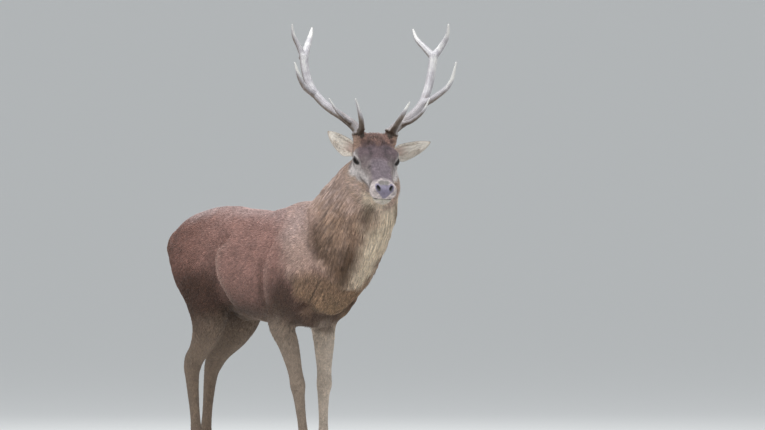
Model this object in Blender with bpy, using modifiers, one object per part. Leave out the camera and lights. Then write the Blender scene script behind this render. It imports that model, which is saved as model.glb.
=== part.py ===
"""Red deer stag, life size, standing with its head turned to its right.

Metres, +Z up. The trunk faces +X, so +Y is the stag's left. Flesh is one closed
body, lofted and fused, then parted by thin cuts where a person would name its
parts. Antlers, ears, eyes, hooves and dewclaws are solids of their own.
"""
import math

import bmesh
import bpy
import numpy as np
from mathutils import Matrix, Vector

# Driving dimensions, in metres and degrees
GAP = 0.0003                                   # between pieces that meet
ORIGIN_SHIFT = (-0.220, -0.022, 0.0)             # puts the origin under the middle of the whole
WITHERS_HEIGHT = 1.245
CHEST_HEIGHT = 0.682
POLL = (0.741, 0.012, 1.514)                   # where the head hangs from the neck
HEAD_YAW = -30.4                               # turned to the stag's right
HEAD_PITCH = 21.5                              # nose below the level
HEAD_ROLL = -2.2                               # its left side lower
EYE = (0.125, 0.081, -0.040)                   # along the face, outward, up from the face line
EYE_RADIUS = 0.0215
ANTLER_ORIGIN = (0.020, 0.0765, 0.048)         # from which an antler's points are measured
SOLE_PLANE = 0.0
CORONET = 0.044                                # height where hair ends and horn begins
CORONET_SLOPE = 0.28                           # the hoof is lower at the heel
HOOF_SPREAD = 0.0205                           # from the foot's middle to a claw's middle

FLESH_VOXEL = 0.0075
SHARP_EDGE = 48.0                              # degrees, above which an edge is left crisp
FLESH_TRIANGLES = 2700

COAT = (0.235, 0.120, 0.090)
MANE = (0.300, 0.215, 0.160)
FACE = (0.200, 0.150, 0.140)
LEG = (0.105, 0.065, 0.048)
EAR = (0.480, 0.410, 0.330)
ANTLER = (0.420, 0.370, 0.330)
EYE_BLACK = (0.010, 0.007, 0.006)
HOOF_HORN = (0.030, 0.026, 0.024)

# Trunk: x, top, bottom, half width, how much narrower above than below
TRUNK = (
    (-0.532, 1.116, 0.945, 0.120, 0.10),
    (-0.455, 1.172, 0.870, 0.166, 0.14),
    (-0.340, 1.205, 0.810, 0.187, 0.14),
    (-0.210, 1.213, 0.768, 0.196, 0.08),
    (-0.060, 1.203, 0.724, 0.210, 0.05),
    (0.080, 1.195, 0.694, 0.212, 0.10),
    (0.200, 1.217, CHEST_HEIGHT, 0.200, 0.18),
    (0.320, WITHERS_HEIGHT, CHEST_HEIGHT, 0.184, 0.24),
    (0.430, 1.232, 0.692, 0.166, 0.18),
    (0.525, 1.120, 0.748, 0.128, 0.05),
)

# Neck and mane: top (x, z), bottom (x, z), half width, narrower above
NECK = (
    ((0.250, 1.180), (0.430, 0.712), 0.135, 0.15),
    ((0.318, 1.222), (0.536, 0.788), 0.154, 0.17),
    ((0.392, 1.270), (0.634, 0.888), 0.164, 0.20),
    ((0.486, 1.356), (0.748, 1.030), 0.150, 0.18),
    ((0.592, 1.446), (0.812, 1.170), 0.124, 0.14),
    ((0.662, 1.480), (0.832, 1.290), 0.102, 0.08),
    ((0.718, 1.478), (0.818, 1.375), 0.086, 0.00),
)

# Skull and upper muzzle: along the face, top, bottom, half width
SKULL = (
    (-0.035, 0.004, -0.130, 0.074),
    (0.020, 0.034, -0.150, 0.089),
    (0.070, 0.040, -0.160, 0.097),
    (0.120, 0.026, -0.155, 0.100),
    (0.170, 0.003, -0.142, 0.085),
    (0.230, -0.015, -0.128, 0.066),
    (0.290, -0.028, -0.117, 0.056),
    (0.340, -0.036, -0.112, 0.055),
    (0.375, -0.042, -0.112, 0.061),
    (0.400, -0.050, -0.110, 0.051),
)

# Lower jaw, in the same columns
JAW = (
    (0.010, -0.060, -0.170, 0.060),
    (0.065, -0.080, -0.196, 0.070),
    (0.130, -0.085, -0.187, 0.062),
    (0.200, -0.085, -0.164, 0.049),
    (0.270, -0.085, -0.148, 0.041),
    (0.330, -0.085, -0.145, 0.043),
    (0.372, -0.088, -0.147, 0.041),
)

# Legs: x, outward, z, half width, ahead of the bone line, behind it
FORELEG_TOP = (
    (0.330, 0.106, 1.085, 0.046, 0.080, 0.090),
    (0.385, 0.126, 0.960, 0.068, 0.125, 0.120),
    (0.335, 0.130, 0.835, 0.070, 0.125, 0.120),
)
FORELEG = (
    (0.272, 0.120, 0.720, 0.056, 0.074, 0.066),
    (0.282, 0.112, 0.600, 0.043, 0.050, 0.048),
    (0.290, 0.106, 0.490, 0.032, 0.035, 0.034),
    (0.292, 0.103, 0.425, 0.034, 0.039, 0.033),
    (0.292, 0.101, 0.375, 0.026, 0.028, 0.029),
    (0.293, 0.100, 0.260, 0.020, 0.022, 0.025),
    (0.297, 0.100, 0.145, 0.027, 0.028, 0.032),
    (0.318, 0.100, 0.090, 0.025, 0.025, 0.026),
    (0.337, 0.100, 0.030, 0.036, 0.040, 0.037),
)
HIND_LEG_TOP = (
    (-0.360, 0.098, 1.090, 0.066, 0.140, 0.130),
    (-0.345, 0.112, 0.960, 0.086, 0.200, 0.150),
    (-0.280, 0.122, 0.830, 0.078, 0.160, 0.120),
)
HIND_LEG = (
    (-0.262, 0.124, 0.735, 0.062, 0.120, 0.098),
    (-0.285, 0.119, 0.650, 0.047, 0.080, 0.074),
    (-0.345, 0.113, 0.565, 0.034, 0.046, 0.050),
    (-0.395, 0.110, 0.497, 0.034, 0.040, 0.054),
    (-0.408, 0.107, 0.430, 0.028, 0.031, 0.036),
    (-0.402, 0.105, 0.280, 0.021, 0.024, 0.028),
    (-0.392, 0.105, 0.150, 0.027, 0.029, 0.033),
    (-0.368, 0.105, 0.090, 0.025, 0.025, 0.026),
    (-0.348, 0.105, 0.030, 0.036, 0.040, 0.037),
)
# How far each foot is set ahead of the plain stance, and where that swing starts
STEPS = {
    "fore_right": (0.140, 0.790),
    "fore_left": (0.000, 0.790),
    "hind_right": (0.065, 1.000),
    "hind_left": (-0.170, 1.000),
}
ELBOW_BACK = 0.028                             # the stepping leg's elbow trails

TAIL = (
    (-0.530, 1.080, 0.040, 0.032),
    (-0.584, 1.046, 0.040, 0.030),
    (-0.598, 0.975, 0.038, 0.026),
    (-0.590, 0.905, 0.030, 0.020),
)

# Antlers: points ahead, outward and up from the burr, with the radius there
ANTLERS = {
    "right": {
        "beam": ((0.010, -0.018, -0.042, 0.026), (0.006, 0.006, 0.016, 0.025),
                 (-0.012, 0.057, 0.062, 0.024), (-0.050, 0.131, 0.116, 0.022),
                 (-0.100, 0.185, 0.184, 0.021), (-0.132, 0.208, 0.252, 0.020),
                 (-0.152, 0.219, 0.340, 0.018)),
        "brow": ((0.004, 0.002, -0.002, 0.015), (0.064, -0.006, 0.022, 0.013),
                 (0.126, 0.010, 0.078, 0.010), (0.160, 0.040, 0.163, 0.003)),
        "bez": ((-0.002, 0.030, 0.040, 0.014), (0.056, 0.066, 0.058, 0.012),
                (0.100, 0.112, 0.100, 0.009), (0.120, 0.155, 0.163, 0.003)),
        "trez": ((-0.092, 0.178, 0.168, 0.015), (-0.040, 0.228, 0.198, 0.013),
                 (0.005, 0.264, 0.250, 0.010), (0.028, 0.289, 0.320, 0.003)),
        "crown_outer": ((-0.152, 0.218, 0.330, 0.016), (-0.156, 0.238, 0.378, 0.014),
                        (-0.144, 0.264, 0.428, 0.010), (-0.120, 0.274, 0.484, 0.003)),
        "crown_inner": ((-0.152, 0.218, 0.322, 0.016), (-0.188, 0.198, 0.368, 0.014),
                        (-0.230, 0.176, 0.414, 0.010), (-0.260, 0.160, 0.466, 0.003)),
    },
    "left": {
        "beam": ((0.010, -0.018, -0.042, 0.026), (0.006, 0.006, 0.016, 0.025),
                 (-0.008, 0.065, 0.058, 0.024), (-0.050, 0.129, 0.111, 0.022),
                 (-0.088, 0.165, 0.162, 0.021), (-0.130, 0.194, 0.240, 0.020),
                 (-0.160, 0.216, 0.346, 0.018)),
        "brow": ((0.004, 0.000, -0.002, 0.015), (0.062, 0.004, 0.030, 0.013),
                 (0.126, 0.028, 0.086, 0.010), (0.160, 0.058, 0.152, 0.003)),
        "bez": ((-0.002, 0.036, 0.038, 0.014), (0.056, 0.078, 0.056, 0.012),
                (0.102, 0.122, 0.100, 0.009), (0.122, 0.152, 0.166, 0.003)),
        "trez": ((-0.068, 0.150, 0.128, 0.015), (-0.030, 0.200, 0.160, 0.013),
                 (0.002, 0.260, 0.220, 0.010), (0.030, 0.287, 0.330, 0.003)),
        "crown_outer": ((-0.159, 0.215, 0.338, 0.016), (-0.164, 0.246, 0.375, 0.014),
                        (-0.148, 0.273, 0.429, 0.010), (-0.120, 0.275, 0.489, 0.003)),
        "crown_inner": ((-0.159, 0.215, 0.332, 0.016), (-0.192, 0.183, 0.371, 0.014),
                        (-0.234, 0.150, 0.414, 0.010), (-0.260, 0.136, 0.465, 0.003)),
    },
}

# Ears: root and tip ahead, outward and up from the poll, and which way the hollow faces
EARS = {
    "right": {"root": (-0.004, 0.070, -0.048), "tip": (-0.115, 0.186, 0.036), "faces": (0.95, 0.05, -0.30)},
    "left": {"root": (-0.004, 0.074, -0.054), "tip": (-0.052, 0.268, 0.006), "faces": (0.95, 0.05, -0.30)},
}
HEAD_OVAL = (0.200, 0.0, -0.060)               # middle and radii of the oval that parts head and neck
HEAD_OVAL_RADII = (0.236, 0.200, 0.170)
NECK_CUT = (0.470, 0.0, 1.060)
TAIL_CUT = (-0.582, 0.0, 1.020)
SLEEVE_EASE = 0.022                            # how loose a leg's cutting sleeve is
SLEEVE_DOME = 0.075
EAR_HALF_WIDTH = 0.047
EAR_CUP = 0.030
EAR_WALL = 0.009


def smoothstep(low, high, value):
    """0 at low, 1 at high, and an even S between."""
    share = np.clip((value - low) / (high - low), 0.0, 1.0)
    return share * share * (3.0 - 2.0 * share)


def flow(rows, count):
    """A smooth curve through the rows: cubic stretches whose slope at a row is that of its neighbours."""
    rows = np.array(rows, dtype=float)
    slope = np.gradient(rows, axis=0)
    place = np.linspace(0.0, len(rows) - 1.0, count)
    low = np.minimum(place.astype(int), len(rows) - 2)
    t = (place - low)[:, None]
    a, b, da, db = rows[low], rows[low + 1], slope[low], slope[low + 1]
    return (a * (2 * t**3 - 3 * t**2 + 1) + b * (3 * t**2 - 2 * t**3)
            + da * (t**3 - 2 * t**2 + t) + db * (t**3 - t**2))


def unit(vectors):
    return vectors / np.maximum(np.linalg.norm(vectors, axis=-1, keepdims=True), 1e-9)


def mesh_object(name, points, faces, material, collection):
    mesh = bpy.data.meshes.new(name)
    mesh.from_pydata([tuple(p) for p in points], [], faces)
    mesh.validate()
    mesh.shade_smooth()
    mesh.materials.append(material)
    obj = bpy.data.objects.new(name, mesh)
    collection.objects.link(obj)
    return obj


def loft(name, rows, collection, material, rings=40, around=28, power=2.0, domes=(0.0, 0.0), place=None,
         dome_rings=7):
    """A closed body along a path. Each row is the middle (x, y, z), the half width, the reach
    above and below the path, and how much narrower the section is above. domes rounds the ends."""
    s = flow(rows, rings)
    centre, width, above, below, egg = s[:, :3], s[:, 3], s[:, 4], s[:, 5], s[:, 6]
    forward = unit(np.gradient(centre, axis=0))
    upward = unit(np.cross(forward, (0.0, 1.0, 0.0)))
    side = np.cross(upward, forward)
    scale = np.ones(rings)
    for end, reach in zip((0, -1), domes):
        if not reach:
            continue
        turn = np.radians(np.linspace(12.0, 84.0, dome_rings))
        out = centre[end] + np.outer(np.sin(turn) * reach, forward[end] * (-1 if end == 0 else 1))
        order = slice(None, None, -1) if end == 0 else slice(None)
        extra = [(centre, out), (scale, np.cos(turn))]
        extra += [(frame, np.tile(frame[end], (dome_rings, 1))) for frame in (forward, side, upward)]
        extra += [(size, np.full(dome_rings, size[end])) for size in (width, above, below, egg)]
        grown = [np.concatenate((new[order], old) if end == 0 else (old, new[order])) for old, new in extra]
        centre, scale, forward, side, upward, width, above, below, egg = grown
    angle = np.linspace(0.0, 2.0 * math.pi, around, endpoint=False)
    across = np.sign(np.cos(angle)) * np.abs(np.cos(angle)) ** (2.0 / power)
    rise = np.sign(np.sin(angle)) * np.abs(np.sin(angle)) ** (2.0 / power)
    reach = np.where(rise > 0, above[:, None], below[:, None]) * rise
    points = (centre[:, None] + side[:, None] * (scale[:, None] * width[:, None] * across
                                                 * (1.0 - egg[:, None] * rise))[..., None]
              + upward[:, None] * (scale[:, None] * reach)[..., None])
    count = len(points)
    points = points.reshape(-1, 3)
    if place is not None:
        points = place(points)
    faces = [(i * around + j, (i + 1) * around + j, (i + 1) * around + (j + 1) % around, i * around + (j + 1) % around)
             for i in range(count - 1) for j in range(around)]
    faces.append(tuple(range(around)))
    faces.append(tuple(reversed(range((count - 1) * around, count * around))))
    obj = mesh_object(name, points, faces, material, collection)
    face_outward(obj)
    return obj


def ellipsoid(name, centre, radii, collection, material, place=None, segments=24):
    bm = bmesh.new()
    bmesh.ops.create_uvsphere(bm, u_segments=segments, v_segments=segments // 2, radius=1.0)
    mesh = bpy.data.meshes.new(name)
    bm.to_mesh(mesh)
    bm.free()
    points = np.array([v.co for v in mesh.vertices]) * radii + centre
    if place is not None:
        points = place(points)
    mesh.vertices.foreach_set("co", points.ravel())
    if material:
        mesh.materials.append(material)
    obj = bpy.data.objects.new(name, mesh)
    collection.objects.link(obj)
    face_outward(obj)
    return obj


def face_outward(obj):
    """Turns the faces outward, and makes each a flat one so that a copy cuts exactly alike."""
    bm = bmesh.new()
    bm.from_mesh(obj.data)
    bmesh.ops.triangulate(bm, faces=bm.faces)
    bmesh.ops.recalc_face_normals(bm, faces=bm.faces)
    if bm.calc_volume(signed=True) < 0:
        bmesh.ops.reverse_faces(bm, faces=bm.faces)
    bm.to_mesh(obj.data)
    bm.free()


def settle(obj):
    """Makes an object's modifiers, or a curve's tube, its plain mesh."""
    evaluated = obj.evaluated_get(bpy.context.evaluated_depsgraph_get())
    mesh = bpy.data.meshes.new_from_object(evaluated)
    obj.modifiers.clear()
    obj.data = mesh
    return obj


def cut(obj, cutter, operation="DIFFERENCE"):
    boolean = obj.modifiers.new("cut", "BOOLEAN")
    boolean.operation = operation
    boolean.object = cutter
    bpy.context.view_layer.update()
    return settle(obj)


def discard(obj):
    bpy.data.objects.remove(obj)


def grown_copy(obj, distance, collection):
    """A copy whose surface stands off by the distance, to cut a neighbour clear of the original."""
    copy = obj.copy()
    copy.data = obj.data.copy()
    collection.objects.link(copy)
    points = np.array([v.co for v in copy.data.vertices])
    normals = np.array([v.normal for v in copy.data.vertices])
    copy.data.vertices.foreach_set("co", (points + normals * distance).ravel())
    copy.hide_render = True
    copy.display_type = "WIRE"
    return copy


def keep_largest(obj):
    """Drops the loose crumbs that a cut can leave."""
    bm = bmesh.new()
    bm.from_mesh(obj.data)
    bm.verts.ensure_lookup_table()
    left = set(bm.verts)
    islands = []
    while left:
        stack = [left.pop()]
        island = set(stack)
        while stack:
            for edge in stack.pop().link_edges:
                for vert in edge.verts:
                    if vert not in island:
                        island.add(vert)
                        stack.append(vert)
        left -= island
        islands.append(island)
    islands.sort(key=len)
    for island in islands[:-1]:
        bmesh.ops.delete(bm, geom=list(island), context="VERTS")
    bm.to_mesh(obj.data)
    bm.free()


def material(name, colour, roughness, sheen=0.0):
    mat = bpy.data.materials.new(name)
    mat.use_nodes = True
    shader = mat.node_tree.nodes["Principled BSDF"]
    shader.inputs["Base Color"].default_value = (*colour, 1.0)
    shader.inputs["Roughness"].default_value = roughness
    shader.inputs["Sheen Weight"].default_value = sheen
    return mat


def heading_matrix():
    """The head's own directions with its nose level: ahead, left and up, at the poll."""
    roll = Matrix.Rotation(math.radians(HEAD_ROLL), 4, "X")
    yaw = Matrix.Rotation(math.radians(HEAD_YAW), 4, "Z")
    return Matrix.Translation(POLL) @ yaw @ roll


def head_matrix():
    """Along the face, left, and up from the face line, at the poll."""
    return heading_matrix() @ Matrix.Rotation(math.radians(HEAD_PITCH), 4, "Y")


def through(matrix):
    grid = np.array(matrix)
    return lambda points: np.asarray(points) @ grid[:3, :3].T + grid[:3, 3]


def swing(rows, foot, side):
    """Sets a leg's rows in stance: the foot steps by its share, more the lower the row."""
    step, pivot = STEPS[foot]
    placed = []
    for x, y, z, wide, ahead, behind in rows:
        share = max(0.0, pivot - z) / pivot
        trail = ELBOW_BACK * math.exp(-((z - 0.72) / 0.10) ** 2) if step > 0.1 else 0.0
        placed.append((x + step * share - trail, y * side, z, wide, ahead, behind, 0.0))
    return placed


def flesh_parts(forms, mat):
    """The lofts and masses that fuse into the one body."""
    trunk = [(x, 0.0, (top + low) / 2, wide, (top - low) / 2, (top - low) / 2, egg)
             for x, top, low, wide, egg in TRUNK]
    loft("form_trunk", trunk, forms, mat, power=2.15, domes=(0.046, 0.05))
    neck = [((tx + lx) / 2, 0.004 * i, (tz + lz) / 2, wide, math.hypot(tx - lx, tz - lz) / 2,
             math.hypot(tx - lx, tz - lz) / 2, egg)
            for i, ((tx, tz), (lx, lz), wide, egg) in enumerate(NECK)]
    loft("form_neck", neck, forms, mat, power=2.1, domes=(0.04, 0.04))
    head = through(head_matrix())
    for name, rows, power, dome in (("skull", SKULL, 2.3, 0.019), ("jaw", JAW, 2.2, 0.014)):
        rows = [(t, 0.0, (top + low) / 2, wide, (top - low) / 2, (top - low) / 2, 0.0)
                for t, top, low, wide in rows]
        loft("form_" + name, rows, forms, mat, power=power, domes=(0.02, dome), place=head)
    for side in (1, -1):
        ellipsoid(f"form_brow_{side}", (0.112, side * 0.078, -0.022), (0.040, 0.028, 0.030), forms, mat, head)
        ellipsoid(f"form_cheek_{side}", (0.075, side * 0.052, -0.125), (0.062, 0.026, 0.056), forms, mat, head)
        ellipsoid(f"form_nostril_{side}", (0.385, side * 0.030, -0.066), (0.027, 0.024, 0.024), forms, mat, head)
        ellipsoid(f"form_ear_root_{side}", (0.012, side * 0.066, -0.030), (0.034, 0.030, 0.036), forms, mat, head)
        ellipsoid(f"form_pedicle_{side}", (0.036, side * 0.066, 0.020), (0.034, 0.034, 0.034), forms, mat, head)
        name = "right" if side < 0 else "left"
        for kind, top, low in (("fore", FORELEG_TOP, FORELEG), ("hind", HIND_LEG_TOP, HIND_LEG)):
            rows = swing(top + low, f"{kind}_{name}", side)
            loft(f"form_{kind}_{name}", rows, forms, mat, rings=56, around=24, power=2.1, domes=(0.05, 0.0))
    tail = [(x, 0.0, z, wide, thick, thick, 0.0) for x, z, wide, thick in TAIL]
    loft("form_tail", tail, forms, mat, rings=20, around=20, domes=(0.0, 0.03))
    ellipsoid("form_sheath", (-0.105, 0.0, 0.735), (0.100, 0.030, 0.034), forms, mat)
    ellipsoid("form_purse", (-0.300, 0.0, 0.806), (0.040, 0.032, 0.046), forms, mat)
    return list(forms.objects)


def in_head(points):
    """1 inside the head's oval, fading to 0 just outside it."""
    turn = np.array(head_matrix().to_3x3())
    local = (points - np.array(POLL)) @ turn
    reach = np.linalg.norm((local - np.array(HEAD_OVAL)) / np.array(HEAD_OVAL_RADII), axis=1)
    return smoothstep(1.10, 0.90, reach)


def fuse(forms, mat, parts):
    """One skin over all the forms: joined, remeshed in small cubes, relaxed at the joins, thinned."""
    points, faces = [], []
    for obj in forms:
        start = len(points)
        points.extend(tuple(v.co) for v in obj.data.vertices)
        faces.extend(tuple(start + i for i in face.vertices) for face in obj.data.polygons)
        discard(obj)
    body = mesh_object("flesh", points, faces, mat, parts)
    remesh = body.modifiers.new("fuse", "REMESH")
    remesh.mode = "VOXEL"
    remesh.voxel_size = FLESH_VOXEL
    settle(body)
    where = np.array([v.co for v in body.data.vertices])
    soft = smoothstep(0.52, 0.72, where[:, 2]) * (1.0 - 0.75 * in_head(where))
    soft *= 1.0 - 0.85 * smoothstep(-0.56, -0.60, where[:, 0])
    group = body.vertex_groups.new(name="soft")
    for index, weight in enumerate(0.15 + 0.85 * soft):
        group.add([index], float(weight), "REPLACE")
    relax = body.modifiers.new("relax", "SMOOTH")
    relax.factor = 0.5
    relax.iterations = 26
    relax.vertex_group = "soft"
    settle(body)
    group = body.vertex_groups.new(name="detail")
    where = np.array([v.co for v in body.data.vertices])
    plain = 1.0 - 0.42 * in_head(where) - 0.20 * smoothstep(0.60, 0.50, where[:, 2])
    for index, weight in enumerate(plain):
        group.add([index], float(weight), "REPLACE")
    thin = body.modifiers.new("thin", "DECIMATE")
    thin.ratio = FLESH_TRIANGLES / (2.0 * len(body.data.polygons))
    thin.vertex_group = "detail"
    thin.vertex_group_factor = 1.0
    thin.use_collapse_triangulate = True
    settle(body)
    body.vertex_groups.clear()
    return body


def box(name, centre, upward, size, cutters):
    """A block whose top face has its middle at the centre and looks along upward."""
    bm = bmesh.new()
    bmesh.ops.create_cube(bm, size=1.0)
    mesh = bpy.data.meshes.new(name)
    bm.to_mesh(mesh)
    bm.free()
    mesh.transform(Matrix.Translation((0.0, 0.0, -0.5)))
    turn = Vector(upward).to_track_quat("Z", "Y").to_matrix().to_4x4()
    mesh.transform(Matrix.Translation(centre) @ turn @ Matrix.Diagonal((*size, 1.0)))
    obj = bpy.data.objects.new(name, mesh)
    obj.hide_render = True
    obj.display_type = "WIRE"
    cutters.objects.link(obj)
    return obj


def divide(whole, name, cutter, parts, cutters, mat):
    """What lies in the cutter becomes a piece of its own, and the whole ends a gap clear of it."""
    inside = whole.copy()
    inside.data = whole.data.copy()
    inside.name = name
    inside.data.name = name
    parts.objects.link(inside)
    cut(inside, cutter, "INTERSECT")
    keep_largest(inside)
    inside.data.materials.clear()
    inside.data.materials.append(mat)
    wider = grown_copy(cutter, GAP, cutters)
    cut(whole, wider)
    keep_largest(whole)
    discard(wider)
    discard(cutter)
    return inside


def leg_rows(foot):
    kind, name = foot.split("_")
    side = 1 if name == "left" else -1
    return swing(FORELEG if kind == "fore" else HIND_LEG, foot, side)


def sleeve(foot, cutters):
    """A loose sleeve round a leg, domed at the top, where the leg parts from the trunk."""
    kind, name = foot.split("_")
    side = 1 if name == "left" else -1
    rows = leg_rows(foot)
    if kind == "hind":
        rows = swing(HIND_LEG_TOP[-1:], foot, side) + rows
    rows = [(x, y, z, wide + SLEEVE_EASE, ahead + SLEEVE_EASE, behind + SLEEVE_EASE, 0.0)
            for x, y, z, wide, ahead, behind, _ in rows]
    x, y = rows[-1][:2]
    rows.append((x, y, -0.05, *rows[-1][3:]))
    return loft(f"sleeve_{foot}", rows, cutters, None, rings=9, around=12, domes=(SLEEVE_DOME, 0.0),
                dome_rings=3)


def part_flesh(body, parts, cutters, mats):
    """Cuts the body where its parts are named: head, tail, each leg above and below, neck, trunk."""
    head = through(head_matrix())
    oval = ellipsoid("head_oval", HEAD_OVAL, HEAD_OVAL_RADII, cutters, None, head, segments=16)
    divide(body, "head", oval, parts, cutters, mats["head"])
    block = box("tail_block", TAIL_CUT, (0.80, 0.0, 0.25), (0.34, 0.34, 0.30), cutters)
    divide(body, "tail", block, parts, cutters, mats["trunk"])
    for name in ("left", "right"):
        for kind in ("fore", "hind"):
            foot = f"{kind}_{name}"
            leg = divide(body, f"{foot}_upper", sleeve(foot, cutters), parts, cutters, mats["trunk"])
            rows = leg_rows(foot)
            x, y, top = rows[-1][0], rows[-1][1], CORONET + GAP
            block = box("hoof_block", (x, y, top), (-CORONET_SLOPE, 0.0, 1.0), (0.24, 0.20, 0.10), cutters)
            cut(leg, block)
            discard(block)
            x, y, z = rows[3][:3]
            block = box("joint_block", (x, y, z), (0.0, 0.0, 1.0), (0.5, 0.2, 0.6), cutters)
            divide(leg, f"{foot}_lower", block, parts, cutters, mats["leg"])
    block = box("neck_block", NECK_CUT, (-0.80, 0.0, -0.60), (1.2, 1.2, 1.0), cutters)
    divide(body, "neck", block, parts, cutters, mats["neck"])
    body.name = "trunk"
    body.data.name = "trunk"


def antler_piece(name, rows, matrix, side, collection, mat, caps=True):
    """A tapered tube through a few points, as a curve with a round bevel, made a closed mesh."""
    rows = flow(rows, 7 if len(rows) < 6 else 11)
    curve = bpy.data.curves.new(name, "CURVE")
    curve.dimensions = "3D"
    curve.bevel_depth = 1.0
    curve.bevel_resolution = 2
    curve.use_fill_caps = caps
    spline = curve.splines.new("POLY")
    spline.points.add(len(rows) - 1)
    for point, (ahead, outward, up, radius) in zip(spline.points, rows):
        point.co = (*(matrix @ Vector((ahead, side * outward, up))), 1.0)
        point.radius = radius
    tube = bpy.data.objects.new(name, curve)
    collection.objects.link(tube)
    bpy.context.view_layer.update()
    mesh = bpy.data.meshes.new_from_object(tube.evaluated_get(bpy.context.evaluated_depsgraph_get()))
    discard(tube)
    bm = bmesh.new()
    bm.from_mesh(mesh)
    bmesh.ops.remove_doubles(bm, verts=bm.verts, dist=0.00005)
    bm.to_mesh(mesh)
    bm.free()
    mesh.materials.clear()
    mesh.materials.append(mat)
    mesh.shade_smooth()
    obj = bpy.data.objects.new(name, mesh)
    collection.objects.link(obj)
    face_outward(obj)
    return obj


def seat(piece, base, cutters):
    """Trims a piece that stands on another to the other's surface, a gap clear of it."""
    cutter = grown_copy(base, GAP, cutters)
    cut(piece, cutter)
    keep_largest(piece)
    discard(cutter)


def antler(name, side, body, parts, cutters, mats):
    """Burr and lower beam, upper beam, brow, bez and trez tines and the two of the crown."""
    place = Matrix.Rotation(math.radians(HEAD_YAW), 4, "Z")
    place.translation = head_matrix() @ Vector((ANTLER_ORIGIN[0], side * ANTLER_ORIGIN[1], ANTLER_ORIGIN[2]))
    rows = ANTLERS[name]
    beam = antler_piece(f"antler_{name}_beam_lower", rows["beam"], place, side, parts, mats["antler"])
    foot = flow(rows["beam"], 25)[2:4, :3]
    foot = [place @ Vector((p[0], side * p[1], p[2])) for p in foot]
    crown = (foot[1] - foot[0]).normalized()
    ring = bmesh.new()
    bmesh.ops.create_cone(ring, cap_ends=True, segments=12, radius1=0.033, radius2=0.030, depth=0.014)
    mesh = bpy.data.meshes.new("burr")
    ring.to_mesh(mesh)
    ring.free()
    mesh.transform(Matrix.Translation(foot[0]) @ crown.to_track_quat("Z", "Y").to_matrix().to_4x4())
    collar = bpy.data.objects.new("burr", mesh)
    cutters.objects.link(collar)
    cut(beam, collar, "UNION")
    discard(collar)
    seat(beam, body, cutters)
    fork = Vector(rows["trez"][0][:3])
    middle = flow(rows["beam"], 61)[:, :3]
    nearest = int(np.argmin(np.linalg.norm(middle - np.array(fork), axis=1))) + 3
    here = place @ Vector((middle[nearest][0], side * middle[nearest][1], middle[nearest][2]))
    ahead = place @ Vector((middle[nearest + 1][0], side * middle[nearest + 1][1], middle[nearest + 1][2]))
    block = box("beam_block", here, here - ahead, (0.5, 0.5, 0.4), cutters)
    upper = divide(beam, f"antler_{name}_beam_upper", block, parts, cutters, mats["antler"])
    done = [beam, upper]
    for tine in ("brow", "bez", "trez", "crown_outer", "crown_inner"):
        obj = antler_piece(f"antler_{name}_{tine}", rows[tine], place, side, parts, mats["antler"])
        for other in done:
            seat(obj, other, cutters)
        seat(obj, body, cutters)
        done.append(obj)


def ear(name, side, body, parts, cutters, mats):
    """A leaf-shaped, cupped sheet with a real wall: narrow and rolled at the root, open above."""
    spec = EARS[name]
    heading = heading_matrix()
    mirror = Vector((1.0, side, 1.0))
    base = heading @ (Vector(spec["root"]) * mirror)
    axis = heading @ (Vector(spec["tip"]) * mirror) - base
    length = axis.length
    axis.normalize()
    faces_to = heading.to_3x3() @ (Vector(spec["faces"]) * mirror)
    facing = (faces_to - axis * faces_to.dot(axis)).normalized()
    across = axis.cross(facing)
    along = np.linspace(0.0, 1.0, 10)
    width = np.linspace(-1.0, 1.0, 7)
    v, w = np.meshgrid(along, width, indexing="ij")
    half = EAR_HALF_WIDTH * (0.30 + 0.70 * np.sin(math.pi * np.clip(v, 0, 1) ** 0.80 * 0.60 / 0.60) ** 0.75)
    half = half * np.sqrt(np.clip(1.03 - v ** 5, 0.0, 1.0))
    cup = EAR_CUP * (1.0 - 0.75 * v)
    points = (np.array(base) + np.outer(v.ravel() * length, np.array(axis))
              + np.outer((w * half).ravel(), np.array(across))
              + np.outer((cup * (np.abs(w) ** 1.8 - 0.55) - 0.012 * (1 - v)).ravel(), np.array(facing)))
    n = len(width)
    quads = [(i * n + j, i * n + j + 1, (i + 1) * n + j + 1, (i + 1) * n + j)
             for i in range(len(along) - 1) for j in range(n - 1)]
    obj = mesh_object(f"ear_{name}", points, quads, mats["ear"], parts)
    wall = obj.modifiers.new("wall", "SOLIDIFY")
    wall.thickness = EAR_WALL
    wall.offset = 0.0
    settle(obj)
    face_outward(obj)
    seat(obj, body, cutters)
    obj.data.shade_smooth()


def eye(name, side, body, parts, cutters, mats):
    """A ball set in a socket cut from the head."""
    centre = head_matrix() @ Vector((EYE[0], side * EYE[1], EYE[2]))
    bm = bmesh.new()
    bmesh.ops.create_uvsphere(bm, u_segments=12, v_segments=8, radius=EYE_RADIUS)
    mesh = bpy.data.meshes.new(f"eye_{name}")
    bm.to_mesh(mesh)
    bm.free()
    out = head_matrix().to_3x3() @ Vector((0.25, side, 0.05))
    mesh.transform(Matrix.Translation(centre) @ out.to_track_quat("Z", "Y").to_matrix().to_4x4())
    mesh.materials.append(mats["eye"])
    mesh.shade_smooth()
    obj = bpy.data.objects.new(f"eye_{name}", mesh)
    parts.objects.link(obj)
    cutter = grown_copy(obj, GAP, cutters)
    cut(body, cutter)
    discard(cutter)


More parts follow.
